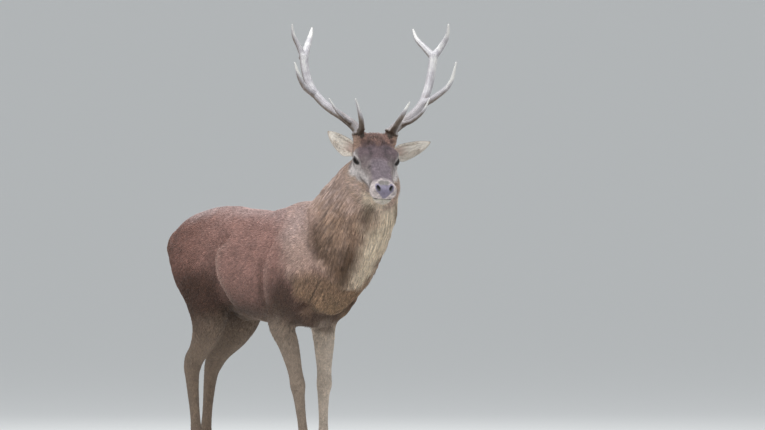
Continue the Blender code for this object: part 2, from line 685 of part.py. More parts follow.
def hoof(foot, claw, parts, mats):
    """One claw: a pointed oval sole that leans back and narrows up to a sloping top."""
    centre = Vector((*leg_rows(foot)[-1][:2], 0.0))
    rows, around = 4, 14
    angle = np.linspace(0.0, 2.0 * math.pi, around, endpoint=False)
    points = []
    for i in range(rows):
        up = i / (rows - 1)
        long = 0.043 - 0.010 * up
        wide = 0.0185 - 0.0020 * up
        x = long * np.cos(angle) * (1.0 + 0.10 * np.cos(angle)) - 0.016 * up + 0.012
        y = wide * np.sin(angle) * (1.0 - 0.22 * np.maximum(np.cos(angle), 0.0) ** 2)
        top = CORONET + CORONET_SLOPE * x
        z = up * top * np.ones(around)
        points += list(zip(centre.x + x, centre.y + claw * HOOF_SPREAD + y, SOLE_PLANE + z))
    faces = [(i * around + j, i * around + (j + 1) % around, (i + 1) * around + (j + 1) % around, (i + 1) * around + j)
             for i in range(rows - 1) for j in range(around)]
    faces.append(tuple(reversed(range(around))))
    faces.append(tuple(range((rows - 1) * around, rows * around)))
    side = "outer" if claw * centre.y > 0 else "inner"
    obj = mesh_object(f"hoof_{foot}_{side}", points, faces, mats["hoof"], parts)
    obj.data.set_sharp_from_angle(angle=math.radians(40))
    face_outward(obj)


def dewclaw(foot, claw, body, parts, cutters, mats):
    """A small blunt claw behind the pastern, one each side of its middle."""
    x, y, z = leg_rows(foot)[6][:3]
    bm = bmesh.new()
    bmesh.ops.create_uvsphere(bm, u_segments=7, v_segments=5, radius=1.0)
    mesh = bpy.data.meshes.new("dewclaw")
    bm.to_mesh(mesh)
    bm.free()
    turn = Matrix.Rotation(math.radians(28.0), 4, "Y")
    mesh.transform(Matrix.Translation((x - 0.026, y + claw * 0.0155, z - 0.042)) @ turn
                   @ Matrix.Diagonal((0.0125, 0.0105, 0.020, 1.0)))
    side = "outer" if claw * y > 0 else "inner"
    obj = bpy.data.objects.new(f"dewclaw_{foot}_{side}", mesh)
    mesh.materials.append(mats["hoof"])
    mesh.shade_smooth()
    parts.objects.link(obj)
    seat(obj, body, cutters)


def build():
    for obj in list(bpy.data.objects):
        bpy.data.objects.remove(obj)
    parts = bpy.data.collections.new("red_deer_stag")
    forms = bpy.data.collections.new("forms")
    cutters = bpy.data.collections.new("cutters")
    for collection in (parts, forms, cutters):
        bpy.context.scene.collection.children.link(collection)
    mats = {
        "trunk": material("summer_coat", COAT, 0.85, 0.2), "neck": material("mane", MANE, 0.9, 0.2),
        "head": material("face_hair", FACE, 0.8, 0.2), "leg": material("leg_hair", LEG, 0.85, 0.2),
        "ear": material("ear_hair", EAR, 0.9, 0.2), "antler": material("antler_bone", ANTLER, 0.55),
        "eye": material("eye", EYE_BLACK, 0.08), "hoof": material("hoof_horn", HOOF_HORN, 0.45),
    }
    mats["tail"] = mats["trunk"]
    body = fuse(flesh_parts(forms, mats["trunk"]), mats["trunk"], parts)
    for name, side in (("left", 1), ("right", -1)):
        ear(name, side, body, parts, cutters, mats)
        antler(name, side, body, parts, cutters, mats)
        eye(name, side, body, parts, cutters, mats)
        for kind in ("fore", "hind"):
            for claw in (1, -1):
                hoof(f"{kind}_{name}", claw, parts, mats)
                dewclaw(f"{kind}_{name}", claw, body, parts, cutters, mats)
    part_flesh(body, parts, cutters, mats)
    for obj in parts.objects:
        obj.data.transform(Matrix.Translation(ORIGIN_SHIFT))
        obj.data.shade_smooth()
        obj.data.set_sharp_from_angle(angle=math.radians(SHARP_EDGE))


build()
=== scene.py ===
"""Red deer stag, life size: skin, coat, antlers, ears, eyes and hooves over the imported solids.

Metres, +Z up. Shapes are worked out in a stance frame, with the trunk along +X and the
stag's left at +Y, and moved by ORIGIN_SHIFT when they become meshes. Places on the head are
along the face from the poll, to the left, and up from the face line. A side is 1 for the
stag's left and -1 for its right. Every random choice is seeded.
"""
import math

import bmesh
import bpy
import numpy as np
from mathutils import Matrix, Vector


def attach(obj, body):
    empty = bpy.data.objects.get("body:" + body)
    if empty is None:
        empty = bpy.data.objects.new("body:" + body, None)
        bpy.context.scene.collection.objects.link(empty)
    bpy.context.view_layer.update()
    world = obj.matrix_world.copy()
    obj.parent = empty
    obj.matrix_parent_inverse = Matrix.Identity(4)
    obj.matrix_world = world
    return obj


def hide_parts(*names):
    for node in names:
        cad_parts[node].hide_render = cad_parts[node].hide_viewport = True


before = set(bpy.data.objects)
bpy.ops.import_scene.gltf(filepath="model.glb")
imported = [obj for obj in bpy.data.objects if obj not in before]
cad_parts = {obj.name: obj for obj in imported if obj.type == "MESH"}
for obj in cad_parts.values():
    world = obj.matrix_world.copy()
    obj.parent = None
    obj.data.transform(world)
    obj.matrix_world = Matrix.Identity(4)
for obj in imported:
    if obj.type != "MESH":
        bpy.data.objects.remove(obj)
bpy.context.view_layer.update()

# Driving dimensions, in metres and degrees
ORIGIN_SHIFT = np.array((-0.220, -0.022, 0.0))
POLL = (0.741, 0.012, 1.514)                   # where the head hangs from the neck
HEAD_YAW = -30.4
HEAD_PITCH = 21.5
HEAD_ROLL = -2.2
EYE = (0.125, 0.081, -0.040)                   # along the face, outward, up from the face line
EYE_RADIUS = 0.0212
FISSURE = (0.0165, 0.0098)                     # half length and half height of the open eye
FISSURE_TILT = 24.0
NOSTRIL_MIDDLE = (0.402, 0.0285, -0.056)
ANTLER_ORIGIN = (0.020, 0.0765, 0.048)
CORONET = 0.044                                # height where hair ends and horn begins
CORONET_SLOPE = 0.28
HOOF_SPREAD = 0.0205                           # from the middle of a foot to that of each claw
SKIN_VOXEL = 0.0078
ANTLER_VOXEL = 0.0027
PIECE_LIMIT = 190000                           # triangles in one piece of coat
PATCH = 0.003                                  # size of a tuft's patch on the OFBake map
HEAD_OVAL = np.array((0.200, 0.0, -0.060))
HEAD_OVAL_RADII = np.array((0.236, 0.200, 0.170))
SIDES = (("left", 1), ("right", -1))
BREAST_PLANE = np.array((0.80, 0.0, 0.60))     # leans across the base of the neck
BREAST_POINT = np.array((0.470, 0.0, 1.060))

# Trunk: x, top, bottom, half width, how much narrower above than below
TRUNK = (
    (-0.532, 1.116, 0.945, 0.120, 0.10),
    (-0.455, 1.172, 0.870, 0.166, 0.14),
    (-0.340, 1.205, 0.810, 0.187, 0.14),
    (-0.210, 1.213, 0.768, 0.196, 0.08),
    (-0.060, 1.203, 0.724, 0.210, 0.05),
    (0.080, 1.195, 0.694, 0.212, 0.10),
    (0.200, 1.217, 0.682, 0.200, 0.18),
    (0.320, 1.245, 0.682, 0.184, 0.24),
    (0.430, 1.232, 0.692, 0.166, 0.18),
    (0.525, 1.120, 0.748, 0.128, 0.05),
)
# Neck and mane: top (x, z), bottom (x, z), half width, narrower above
NECK = (
    ((0.250, 1.180), (0.430, 0.712), 0.135, 0.15),
    ((0.318, 1.222), (0.536, 0.788), 0.154, 0.17),
    ((0.392, 1.270), (0.634, 0.888), 0.164, 0.20),
    ((0.486, 1.356), (0.748, 1.030), 0.150, 0.18),
    ((0.592, 1.446), (0.812, 1.170), 0.124, 0.14),
    ((0.662, 1.480), (0.832, 1.290), 0.102, 0.08),
    ((0.718, 1.478), (0.818, 1.375), 0.086, 0.00),
)
# Skull and upper muzzle: along the face, top, bottom, half width
SKULL = (
    (-0.035, 0.004, -0.130, 0.074),
    (0.020, 0.034, -0.150, 0.089),
    (0.070, 0.040, -0.160, 0.097),
    (0.120, 0.026, -0.155, 0.100),
    (0.170, 0.003, -0.142, 0.085),
    (0.230, -0.015, -0.128, 0.066),
    (0.290, -0.028, -0.117, 0.056),
    (0.340, -0.036, -0.112, 0.055),
    (0.375, -0.042, -0.112, 0.061),
    (0.400, -0.050, -0.110, 0.051),
)
# Lower jaw, in the same columns
JAW = (
    (0.010, -0.060, -0.170, 0.060),
    (0.065, -0.080, -0.196, 0.070),
    (0.130, -0.085, -0.187, 0.062),
    (0.200, -0.085, -0.164, 0.049),
    (0.270, -0.085, -0.148, 0.041),
    (0.330, -0.085, -0.145, 0.043),
    (0.372, -0.088, -0.147, 0.041),
)

# Legs: x, outward, z, half width, ahead of the bone line, behind it
FORELEG_TOP = (
    (0.330, 0.106, 1.085, 0.046, 0.080, 0.090),
    (0.385, 0.126, 0.960, 0.068, 0.125, 0.120),
    (0.335, 0.130, 0.835, 0.070, 0.125, 0.120),
)
FORELEG = (
    (0.272, 0.120, 0.720, 0.056, 0.074, 0.066),
    (0.282, 0.112, 0.600, 0.043, 0.050, 0.048),
    (0.290, 0.106, 0.490, 0.032, 0.035, 0.034),
    (0.292, 0.103, 0.425, 0.034, 0.039, 0.033),
    (0.292, 0.101, 0.375, 0.026, 0.028, 0.029),
    (0.293, 0.100, 0.260, 0.020, 0.022, 0.025),
    (0.297, 0.100, 0.145, 0.027, 0.028, 0.032),
    (0.318, 0.100, 0.090, 0.025, 0.025, 0.026),
    (0.337, 0.100, 0.030, 0.036, 0.040, 0.037),
)
HIND_LEG_TOP = (
    (-0.360, 0.098, 1.090, 0.066, 0.140, 0.130),
    (-0.345, 0.112, 0.960, 0.086, 0.200, 0.150),
    (-0.280, 0.122, 0.830, 0.078, 0.160, 0.120),
)
HIND_LEG = (
    (-0.262, 0.124, 0.735, 0.062, 0.120, 0.098),
    (-0.285, 0.119, 0.650, 0.047, 0.080, 0.074),
    (-0.345, 0.113, 0.565, 0.034, 0.046, 0.050),
    (-0.395, 0.110, 0.497, 0.034, 0.040, 0.054),
    (-0.408, 0.107, 0.430, 0.028, 0.031, 0.036),
    (-0.402, 0.105, 0.280, 0.021, 0.024, 0.028),
    (-0.392, 0.105, 0.150, 0.027, 0.029, 0.033),
    (-0.368, 0.105, 0.090, 0.025, 0.025, 0.026),
    (-0.348, 0.105, 0.030, 0.036, 0.040, 0.037),
)
# How far each foot is set ahead of the plain stance, and where that swing starts
STEPS = {
    "fore_right": (0.140, 0.790),
    "fore_left": (0.000, 0.790),
    "hind_right": (0.065, 1.000),
    "hind_left": (-0.170, 1.000),
}
ELBOW_BACK = 0.028                             # the stepping leg's elbow trails
# Tail: x, z, half width, half thickness
TAIL = (
    (-0.530, 1.080, 0.040, 0.032),
    (-0.584, 1.046, 0.040, 0.030),
    (-0.598, 0.975, 0.038, 0.026),
    (-0.590, 0.905, 0.030, 0.020),
)

# Antlers: points ahead, outward and up from the burr, with the radius there
ANTLERS = {
    "right": {
        "beam": ((0.010, -0.018, -0.042, 0.026), (0.006, 0.006, 0.016, 0.025),
                 (-0.012, 0.057, 0.062, 0.024), (-0.050, 0.131, 0.116, 0.022),
                 (-0.100, 0.185, 0.184, 0.021), (-0.132, 0.208, 0.252, 0.020),
                 (-0.152, 0.219, 0.340, 0.018)),
        "brow": ((0.004, 0.002, -0.002, 0.015), (0.064, -0.006, 0.022, 0.013),
                 (0.126, 0.010, 0.078, 0.010), (0.160, 0.040, 0.163, 0.003)),
        "bez": ((-0.002, 0.030, 0.040, 0.014), (0.056, 0.066, 0.058, 0.012),
                (0.100, 0.112, 0.100, 0.009), (0.120, 0.155, 0.163, 0.003)),
        "trez": ((-0.092, 0.178, 0.168, 0.015), (-0.040, 0.228, 0.198, 0.013),
                 (0.005, 0.264, 0.250, 0.010), (0.028, 0.289, 0.320, 0.003)),
        "crown_outer": ((-0.152, 0.218, 0.330, 0.016), (-0.156, 0.238, 0.378, 0.014),
                        (-0.144, 0.264, 0.428, 0.010), (-0.120, 0.274, 0.484, 0.003)),
        "crown_inner": ((-0.152, 0.218, 0.322, 0.016), (-0.188, 0.198, 0.368, 0.014),
                        (-0.230, 0.176, 0.414, 0.010), (-0.260, 0.160, 0.466, 0.003)),
    },
    "left": {
        "beam": ((0.010, -0.018, -0.042, 0.026), (0.006, 0.006, 0.016, 0.025),
                 (-0.008, 0.065, 0.058, 0.024), (-0.050, 0.129, 0.111, 0.022),
                 (-0.088, 0.165, 0.162, 0.021), (-0.130, 0.194, 0.240, 0.020),
                 (-0.160, 0.216, 0.346, 0.018)),
        "brow": ((0.004, 0.000, -0.002, 0.015), (0.062, 0.004, 0.030, 0.013),
                 (0.126, 0.028, 0.086, 0.010), (0.160, 0.058, 0.152, 0.003)),
        "bez": ((-0.002, 0.036, 0.038, 0.014), (0.056, 0.078, 0.056, 0.012),
                (0.102, 0.122, 0.100, 0.009), (0.122, 0.152, 0.166, 0.003)),
        "trez": ((-0.068, 0.150, 0.128, 0.015), (-0.030, 0.200, 0.160, 0.013),
                 (0.002, 0.260, 0.220, 0.010), (0.030, 0.287, 0.330, 0.003)),
        "crown_outer": ((-0.159, 0.215, 0.338, 0.016), (-0.164, 0.246, 0.375, 0.014),
                        (-0.148, 0.273, 0.429, 0.010), (-0.120, 0.275, 0.489, 0.003)),
        "crown_inner": ((-0.159, 0.215, 0.332, 0.016), (-0.192, 0.183, 0.371, 0.014),
                        (-0.234, 0.150, 0.414, 0.010), (-0.260, 0.136, 0.465, 0.003)),
    },
}
# Tines that are thicker or thinner than their rows
ANTLER_FULLNESS = {("right", "crown_inner"): 1.15, ("right", "crown_outer"): 0.85, ("right", "bez"): 0.85,
                   ("left", "bez"): 0.80}

# Ears: root and tip ahead, outward and up from the poll, and which way the hollow faces
EARS = {
    "right": ((-0.004, 0.070, -0.048), (-0.115, 0.186, 0.036)),
    "left": ((-0.004, 0.074, -0.054), (-0.052, 0.268, 0.006)),
}
EAR_FACING = (0.95, 0.05, -0.30)
EAR_UPPER, EAR_LOWER = 0.031, 0.056            # from the ear's axis to its two edges
EAR_CUP = 0.028


# Small numerical tools

def ease(low, high, value):
    """0 at low, 1 at high, and an even S between."""
    share = np.clip((value - low) / (high - low), 0.0, 1.0)
    return share * share * (3.0 - 2.0 * share)


def bump(value, middle, width):
    """A bell: 1 at the middle, fading with the square of the distance."""
    return np.exp(-((value - middle) / width) ** 2)


def unit(vectors):
    """Vectors brought to length 1."""
    return vectors / np.maximum(np.linalg.norm(vectors, axis=-1, keepdims=True), 1e-9)


def circle(count):
    """Angles once round, from 0."""
    return np.linspace(0.0, 2.0 * math.pi, count, endpoint=False)


def away(points, middle, radii=1.0):
    """Distance from a middle, as a share of the radii."""
    return np.linalg.norm((points - np.array(middle)) / radii, axis=1)


def flow(rows, count):
    """A smooth curve through the rows: cubic stretches whose slope at a row is that of its neighbours."""
    rows = np.array(rows, dtype=float)
    slope = np.gradient(rows, axis=0)
    place = np.linspace(0.0, len(rows) - 1.0, count)
    low = np.minimum(place.astype(int), len(rows) - 2)
    t = (place - low)[:, None]
    a, b, da, db = rows[low], rows[low + 1], slope[low], slope[low + 1]
    return (a * (2 * t**3 - 3 * t**2 + 1) + b * (3 * t**2 - 2 * t**3)
            + da * (t**3 - 2 * t**2 + t) + db * (t**3 - t**2))


def drift(points, size, seed):
    """Soft noise from -1 to 1: the sum of nine sine waves of about that size in seeded directions."""
    rng = np.random.default_rng(seed)
    waves = unit(rng.normal(size=(9, 3))) * (2.0 * math.pi / size) * rng.uniform(0.6, 1.6, (9, 1))
    return np.sin(points @ waves.T + rng.uniform(0.0, 6.28, 9)).sum(axis=1) / 4.2


def near_line(points, line):
    """Distance to a bent line, and the share of the way along it at the nearest spot."""
    line = np.asarray(line, dtype=float)
    best = np.full(len(points), 1e9)
    along = np.zeros(len(points))
    for i, (a, b) in enumerate(zip(line[:-1], line[1:])):
        step = b - a
        t = np.clip((points - a) @ step / (step @ step), 0.0, 1.0)
        gap = np.linalg.norm(points - a - t[:, None] * step, axis=1)
        closer = gap < best
        best = np.where(closer, gap, best)
        along = np.where(closer, (i + t) / (len(line) - 1), along)
    return best, along


def at_share(line, share):
    """The line's values at those shares of the way along it."""
    line = np.asarray(line)
    return np.stack([np.interp(share, np.linspace(0, 1, len(line)), column) for column in line.T], axis=1)


def mirrored(points, side):
    """Places given for the left, or for one side of the head, brought to that side."""
    return np.array(points) * (1.0, side, 1.0)


# The stance: where the head and legs are

def turned(degrees, axis):
    """The matrix of a turn about X, Y or Z."""
    return Matrix.Rotation(math.radians(degrees), 4, axis)


LEVEL_HEAD = Matrix.Translation(POLL) @ turned(HEAD_YAW, "Z") @ turned(HEAD_ROLL, "X")
LEVEL_GRID = np.array(LEVEL_HEAD)              # ahead, left and up, before the nose is lowered
HEAD_GRID = np.array(LEVEL_HEAD @ turned(HEAD_PITCH, "Y"))


def from_head(points):
    """Places in the head's own frame, as places in the stance frame."""
    return np.asarray(points) @ HEAD_GRID[:3, :3].T + HEAD_GRID[:3, 3]


def to_head(points):
    """Places in the stance frame, as places in the head's own frame."""
    return (np.asarray(points) - HEAD_GRID[:3, 3]) @ HEAD_GRID[:3, :3]


def leg_rows(foot, top=False):
    """A leg's rows in stance: the foot steps by its share, more the lower the row."""
    kind, name = foot.split("_")
    rows = {"fore": FORELEG, "hind": HIND_LEG}[kind]
    if top:
        rows = {"fore": FORELEG_TOP, "hind": HIND_LEG_TOP}[kind] + rows
    step, pivot = STEPS[foot]
    placed = []
    for x, y, z, wide, ahead, behind in rows:
        share = max(0.0, pivot - z) / pivot
        trail = ELBOW_BACK * math.exp(-((z - 0.72) / 0.10) ** 2) if step > 0.1 else 0.0
        placed.append((x + step * share - trail, y * dict(SIDES)[name], z, wide, ahead, behind, 0.0))
    return placed


def at_antlers(points):
    """1 on the stumps of skin that carry the antlers, 0 a hand's breadth away."""
    local = to_head(points)
    local[:, 1] = np.abs(local[:, 1])
    gap = near_line(local, [(0.044, 0.060, 0.005), (0.026, 0.077, 0.050)])[0]
    return ease(0.060, 0.040, gap)


def in_head(points):
    """1 inside the head's oval and on the antlers' stumps, fading to 0 just outside them."""
    oval = ease(1.10, 0.90, away(to_head(points), HEAD_OVAL, HEAD_OVAL_RADII))
    return np.maximum(oval, at_antlers(points))


def before_breast(points):
    """Metres ahead of the bent edge at the base of the neck, where the mane begins."""
    edge = np.interp(points[:, 2], (0.74, 0.82, 0.90, 0.957, 1.043, 1.108, 1.16, 1.25),
                     (-0.190, -0.110, -0.030, -0.004, 0.020, 0.041, 0.060, 0.040))
    return (points - BREAST_POINT) @ BREAST_PLANE - edge


# Surfaces

def put_mesh(name, points, faces, material=None, shift=ORIGIN_SHIFT):
    """A mesh from whole arrays: points in the stance frame, faces all of one size."""
    faces = np.ascontiguousarray(faces, dtype=np.int32)
    mesh = bpy.data.meshes.new(name)
    mesh.vertices.add(len(points))
    mesh.vertices.foreach_set("co", (np.asarray(points) + shift).astype(np.float32).ravel())
    mesh.loops.add(faces.size)
    mesh.loops.foreach_set("vertex_index", faces.ravel())
    mesh.polygons.add(len(faces))
    mesh.polygons.foreach_set("loop_start", np.arange(0, faces.size, faces.shape[1], dtype=np.int32))
    mesh.update(calc_edges=True)
    return shown(name, mesh, material)


def shown(name, mesh, material=None):
    """A smooth-shaded object of that mesh in the scene."""
    mesh.polygons.foreach_set("use_smooth", np.full(len(mesh.polygons), True))
    if material:
        mesh.materials.clear()
        mesh.materials.append(material)
    obj = bpy.data.objects.new(name, mesh)
    bpy.context.scene.collection.objects.link(obj)
    return obj


def settle(obj, slot, *nodes):
    """Rides the one rigid body in place of those solids, which it hides; the slot is not used."""
    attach(obj, "root")
    if nodes:
        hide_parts(*nodes)


def face_outward(obj):
    """Turns every face of a closed mesh outward."""
    bm = bmesh.new()
    bm.from_mesh(obj.data)
    bmesh.ops.recalc_face_normals(bm, faces=bm.faces)
    bm.to_mesh(obj.data)
    bm.free()


def ring_quads(rings, around, closed=False):
    """Quads of a grid that closes on itself round each ring and, if closed, from last ring to first."""
    i, j = np.meshgrid(np.arange(rings - (not closed)), np.arange(around), indexing="ij")
    i, j = i.ravel(), j.ravel()
    k, n = (j + 1) % around, (i + 1) % rings
    return np.stack((i * around + j, i * around + k, n * around + k, n * around + j), axis=1)


def closed_tube(rings, around):
    """Triangles of a tube whose ends run to two middle points, which come last in the list."""
    quads = ring_quads(rings, around)
    walls = np.concatenate((quads[:, (0, 1, 2)], quads[:, (0, 2, 3)]))
    j = np.arange(around)
    k = (j + 1) % around
    first, last = rings * around, rings * around + 1
    base = (rings - 1) * around
    return np.concatenate((walls, np.stack((k, j, np.full(around, first)), 1),
                           np.stack((base + j, base + k, np.full(around, last)), 1)))


def loft(rows, rings=60, around=44, power=2.0, domes=(0.0, 0.0), place=None):
    """A closed body along a path, as points and faces. Each row is the middle (x, y, z), the
    half width, the reach above and below the path, and how much narrower it is above. A
    section is a superellipse, and domes rounds the two ends by a quarter turn."""
    s = flow(rows, rings)
    centre, width, above, below, egg = s[:, :3], s[:, 3], s[:, 4], s[:, 5], s[:, 6]
    forward = unit(np.gradient(centre, axis=0))
    upward = unit(np.cross(forward, (0.0, 1.0, 0.0)))
    side = np.cross(upward, forward)
    scale = np.ones(rings)
    for end, reach in zip((0, -1), domes):
        turn = np.radians(np.linspace(12.0, 84.0, 7)) if reach else np.array([1.5])
        out = centre[end] + np.outer(np.sin(turn) * reach, forward[end] * (-1 if end == 0 else 1))
        order = slice(None, None, -1) if end == 0 else slice(None)
        extra = [(centre, out), (scale, np.cos(turn))]
        extra += [(part, np.tile(part[end], (len(turn), 1))) for part in (forward, side, upward)]
        extra += [(size, np.full(len(turn), size[end])) for size in (width, above, below, egg)]
        grown = [np.concatenate((new[order], old) if end == 0 else (old, new[order])) for old, new in extra]
        centre, scale, forward, side, upward, width, above, below, egg = grown
    angle = circle(around)
    across = np.sign(np.cos(angle)) * np.abs(np.cos(angle)) ** (2.0 / power)
    rise = np.sign(np.sin(angle)) * np.abs(np.sin(angle)) ** (2.0 / power)
    reach = np.where(rise > 0, above[:, None], below[:, None]) * rise
    points = (centre[:, None] + side[:, None] * (scale[:, None] * width[:, None] * across
                                                 * (1.0 - egg[:, None] * rise))[..., None]
              + upward[:, None] * (scale[:, None] * reach)[..., None])
    count = len(points)
    points = np.concatenate((points.reshape(-1, 3), centre[:1], centre[-1:]))
    return (place(points) if place else points), closed_tube(count, around)


def ball(centre, radii, place=None, rings=14, around=24):
    """An ellipsoid as points and faces: rings of latitude with a point at each pole."""
    lat = np.radians(np.linspace(-84.0, 84.0, rings))[:, None]
    lon = circle(around)[None]
    grid = np.stack((np.cos(lat) * np.cos(lon), np.cos(lat) * np.sin(lon), np.sin(lat) + 0 * lon), axis=-1)
    points = np.concatenate((grid.reshape(-1, 3), ((0, 0, -1), (0, 0, 1)))) * radii + centre
    return (place(points) if place else points), closed_tube(rings, around)


def joined(forms):
    """Several shapes' points and faces as one pair of arrays."""
    start = np.cumsum([0] + [len(points) for points, _ in forms[:-1]])
    return (np.concatenate([points for points, _ in forms]),
            np.concatenate([faces + first for (_, faces), first in zip(forms, start)]))


def remeshed(name, forms, voxel):
    """The shapes fused to one closed surface of small squares, as a bare mesh."""
    obj = put_mesh(name, *joined(forms), shift=0.0)
    fuse = obj.modifiers.new("fuse", "REMESH")
    fuse.mode = "VOXEL"
    fuse.voxel_size = voxel
    mesh = bpy.data.meshes.new_from_object(obj.evaluated_get(bpy.context.evaluated_depsgraph_get()))
    bpy.data.objects.remove(obj)
    return mesh


def read_points(mesh):
    """All points of a mesh as rows."""
    points = np.empty(len(mesh.vertices) * 3, dtype=np.float32)
    mesh.vertices.foreach_get("co", points)
    return points.reshape(-1, 3).astype(float)


def read_normals(mesh):
    """The facing of the surface at each point, as rows."""
    mesh.update()
    normals = np.empty(len(mesh.vertices) * 3, dtype=np.float32)
    mesh.vertex_normals.foreach_get("vector", normals)
    return normals.reshape(-1, 3).astype(float)


def write_points(mesh, points):
    """Moves the points of a mesh to those rows."""
    mesh.vertices.foreach_set("co", points.astype(np.float32).ravel())
    mesh.update()


def relax(mesh, rounds, weight):
    """Moves each point part of the way to the mean of its neighbours, as often as asked."""
    edges = np.empty(len(mesh.edges) * 2, dtype=np.int32)
    mesh.edges.foreach_get("vertices", edges)
    a, b = edges.reshape(-1, 2).T
    points = read_points(mesh)
    count = np.bincount(np.concatenate((a, b)), minlength=len(points)).clip(1)
    for _ in range(rounds):
        mean = np.stack([np.bincount(a, points[b, k], len(points)) + np.bincount(b, points[a, k], len(points))
                         for k in range(3)], axis=1) / count[:, None]
        points += (mean - points) * (0.5 * weight)[:, None]
    write_points(mesh, points)


def refine(mesh, chosen):
    """Splits every edge between two chosen points, so that squares there become four."""
    bm = bmesh.new()
    bm.from_mesh(mesh)
    bm.verts.ensure_lookup_table()
    edges = [e for e in bm.edges if chosen[e.verts[0].index] and chosen[e.verts[1].index]]
    bmesh.ops.subdivide_edges(bm, edges=edges, cuts=1, use_grid_fill=True)
    bm.to_mesh(mesh)
    bm.free()
    mesh.update()


def give_attribute(mesh, name, values):
    """Puts one value, or one colour or vector of three, on each point."""
    values = np.asarray(values, dtype=np.float32)
    if values.ndim == 1:
        mesh.attributes.new(name, "FLOAT", "POINT").data.foreach_set("value", values)
    elif name == "tone":
        rgba = np.concatenate((values.clip(0.0, 1.0), np.ones((len(values), 1), dtype=np.float32)), axis=1)
        mesh.attributes.new(name, "FLOAT_COLOR", "POINT").data.foreach_set("color", rgba.ravel())
    else:
        mesh.attributes.new(name, "FLOAT_VECTOR", "POINT").data.foreach_set("vector", values.ravel())


# Features of the face

def eye_frame(side):
    """The eye's middle, and its directions along the fissure, across it, and out of the head."""
    out = unit(np.array((0.74, side, 0.05)))
    tilt = math.radians(FISSURE_TILT)
    slit = np.array((math.cos(tilt), 0.0, -math.sin(tilt)))
    slit = unit(slit - out * (slit @ out))
    across = np.cross(slit, out) * side
    return mirrored(EYE, side), slit, across, out


def near_eye(local, side):
    """Which points are on the lids or just around them."""
    return away(local, mirrored(EYE, side)) < 0.06


def lid_shape(local, side):
    """How far outside the almond of the open eye a point lies (negative within), how far it is
    from the ball's middle, and how far across and out from it."""
    middle, slit, across, out = eye_frame(side)
    q = local - middle
    a, b, c = q @ slit, q @ across, q @ out
    long, high = FISSURE
    gap = (np.sqrt((a / long) ** 2 + (b / high) ** 2) - 1.0) * high
    return gap, q, b, c


def lip_line(side):
    """Where the lips meet, from the front of the mouth back to its corner."""
    return [(0.397, 0.0, -0.110), (0.393, side * 0.015, -0.111), (0.385, side * 0.028, -0.113),
            (0.368, side * 0.040, -0.116), (0.335, side * 0.047, -0.115), (0.300, side * 0.049, -0.109),
            (0.262, side * 0.053, -0.100)]


def carve_face(local):
    """Where each point of the head's skin goes: lids, nostrils, mouth line, glands, veins and lip."""
    local = local.copy()
    for side in (1, -1):
        socket = away(local, (0.166, side * 0.086, -0.046), (0.030, 0.026, 0.024))
        local[:, 1] -= side * 0.0125 * np.exp(-socket**2)
        gap, q, b, c = lid_shape(local, side)
        reach = np.linalg.norm(q, axis=1)
        open_eye = (c > 0.0) * (reach < 0.05)
        wanted = np.where(gap < 0.0, EYE_RADIUS - 0.004,
                          EYE_RADIUS + 0.0009 + 0.0012 * ease(0.0, 0.0035, gap))
        goal = q * (wanted / np.maximum(reach, 1e-6))[:, None]
        local += (goal - q) * (ease(0.013, 0.004, gap) * open_eye)[:, None]
        upper = bump(gap, 0.0085, 0.0020) * (b > 0) * open_eye
        local -= unit(q) * (0.0022 * upper)[:, None]
        nostril = local - mirrored(NOSTRIL_MIDDLE, side)
        tilt = nostril @ unit(np.array((-0.55, side * 0.55, 0.62)))
        cross = nostril @ unit(np.array((0.10, side * -0.60, 0.72)))
        into = unit(np.array((-0.80, side * -0.50, 0.05)))
        hole = np.sqrt((tilt / 0.0125) ** 2 + (cross / 0.0072) ** 2)
        front = ease(0.030, 0.016, np.linalg.norm(nostril, axis=1))
        local += into * (0.0130 * ease(1.15, 0.55, hole) * front)[:, None]
        local -= into * (0.0022 * bump(hole, 1.45, 0.35) * front)[:, None]
        gap, along = near_line(local, lip_line(side))
        inward = unit(np.stack((np.full(len(local), -0.60), -0.9 * local[:, 1] / 0.045,
                                np.zeros(len(local))), axis=1))
        local += inward * (0.0075 * ease(1.0, 0.75, along) * np.exp(-(gap / 0.0042) ** 2))[:, None]
        for line, outward, wide in (
            (((0.148, side * 0.084, -0.050), (0.190, side * 0.072, -0.062)), -0.0024, 0.0042),
            (((0.175, side * 0.075, -0.085), (0.235, side * 0.060, -0.098), (0.300, side * 0.051, -0.095)),
             0.0022, 0.0060),
        ):
            local[:, 1] += side * outward * np.exp(-(near_line(local, line)[0] / wide) ** 2)
        cheek = away(local, (0.205, side * 0.066, -0.062))
        local[:, 1] -= side * 0.0045 * np.exp(-(cheek / 0.026) ** 2)
    groove = bump(local[:, 1], 0.0, 0.0022) * ease(0.400, 0.410, local[:, 0]) * (local[:, 2] < -0.062)
    local[:, 0] -= 0.0022 * groove
    return local


# The skin

# Masses on each side of the head: middle and radii
PAIRED_MASSES = (
    ((0.112, 0.078, -0.022), (0.040, 0.028, 0.030)),       # brow
    ((0.075, 0.052, -0.125), (0.062, 0.026, 0.056)),       # cheek
    ((0.385, 0.030, -0.066), (0.027, 0.024, 0.024)),       # nostril
    ((0.012, 0.066, -0.030), (0.034, 0.030, 0.036)),       # root of the ear
    ((0.038, 0.064, 0.014), (0.033, 0.032, 0.030)),        # antler stump, lower
    ((0.030, 0.073, 0.036), (0.028, 0.028, 0.022)),        # antler stump, upper
    ((0.366, 0.040, -0.088), (0.034, 0.023, 0.027)),       # upper lip
)
CHIN_MASS = ((0.356, 0.0, -0.128), (0.036, 0.042, 0.023))
GROIN_MASSES = (((-0.105, 0.0, 0.735), (0.100, 0.030, 0.034)), ((-0.300, 0.0, 0.806), (0.040, 0.032, 0.046)))

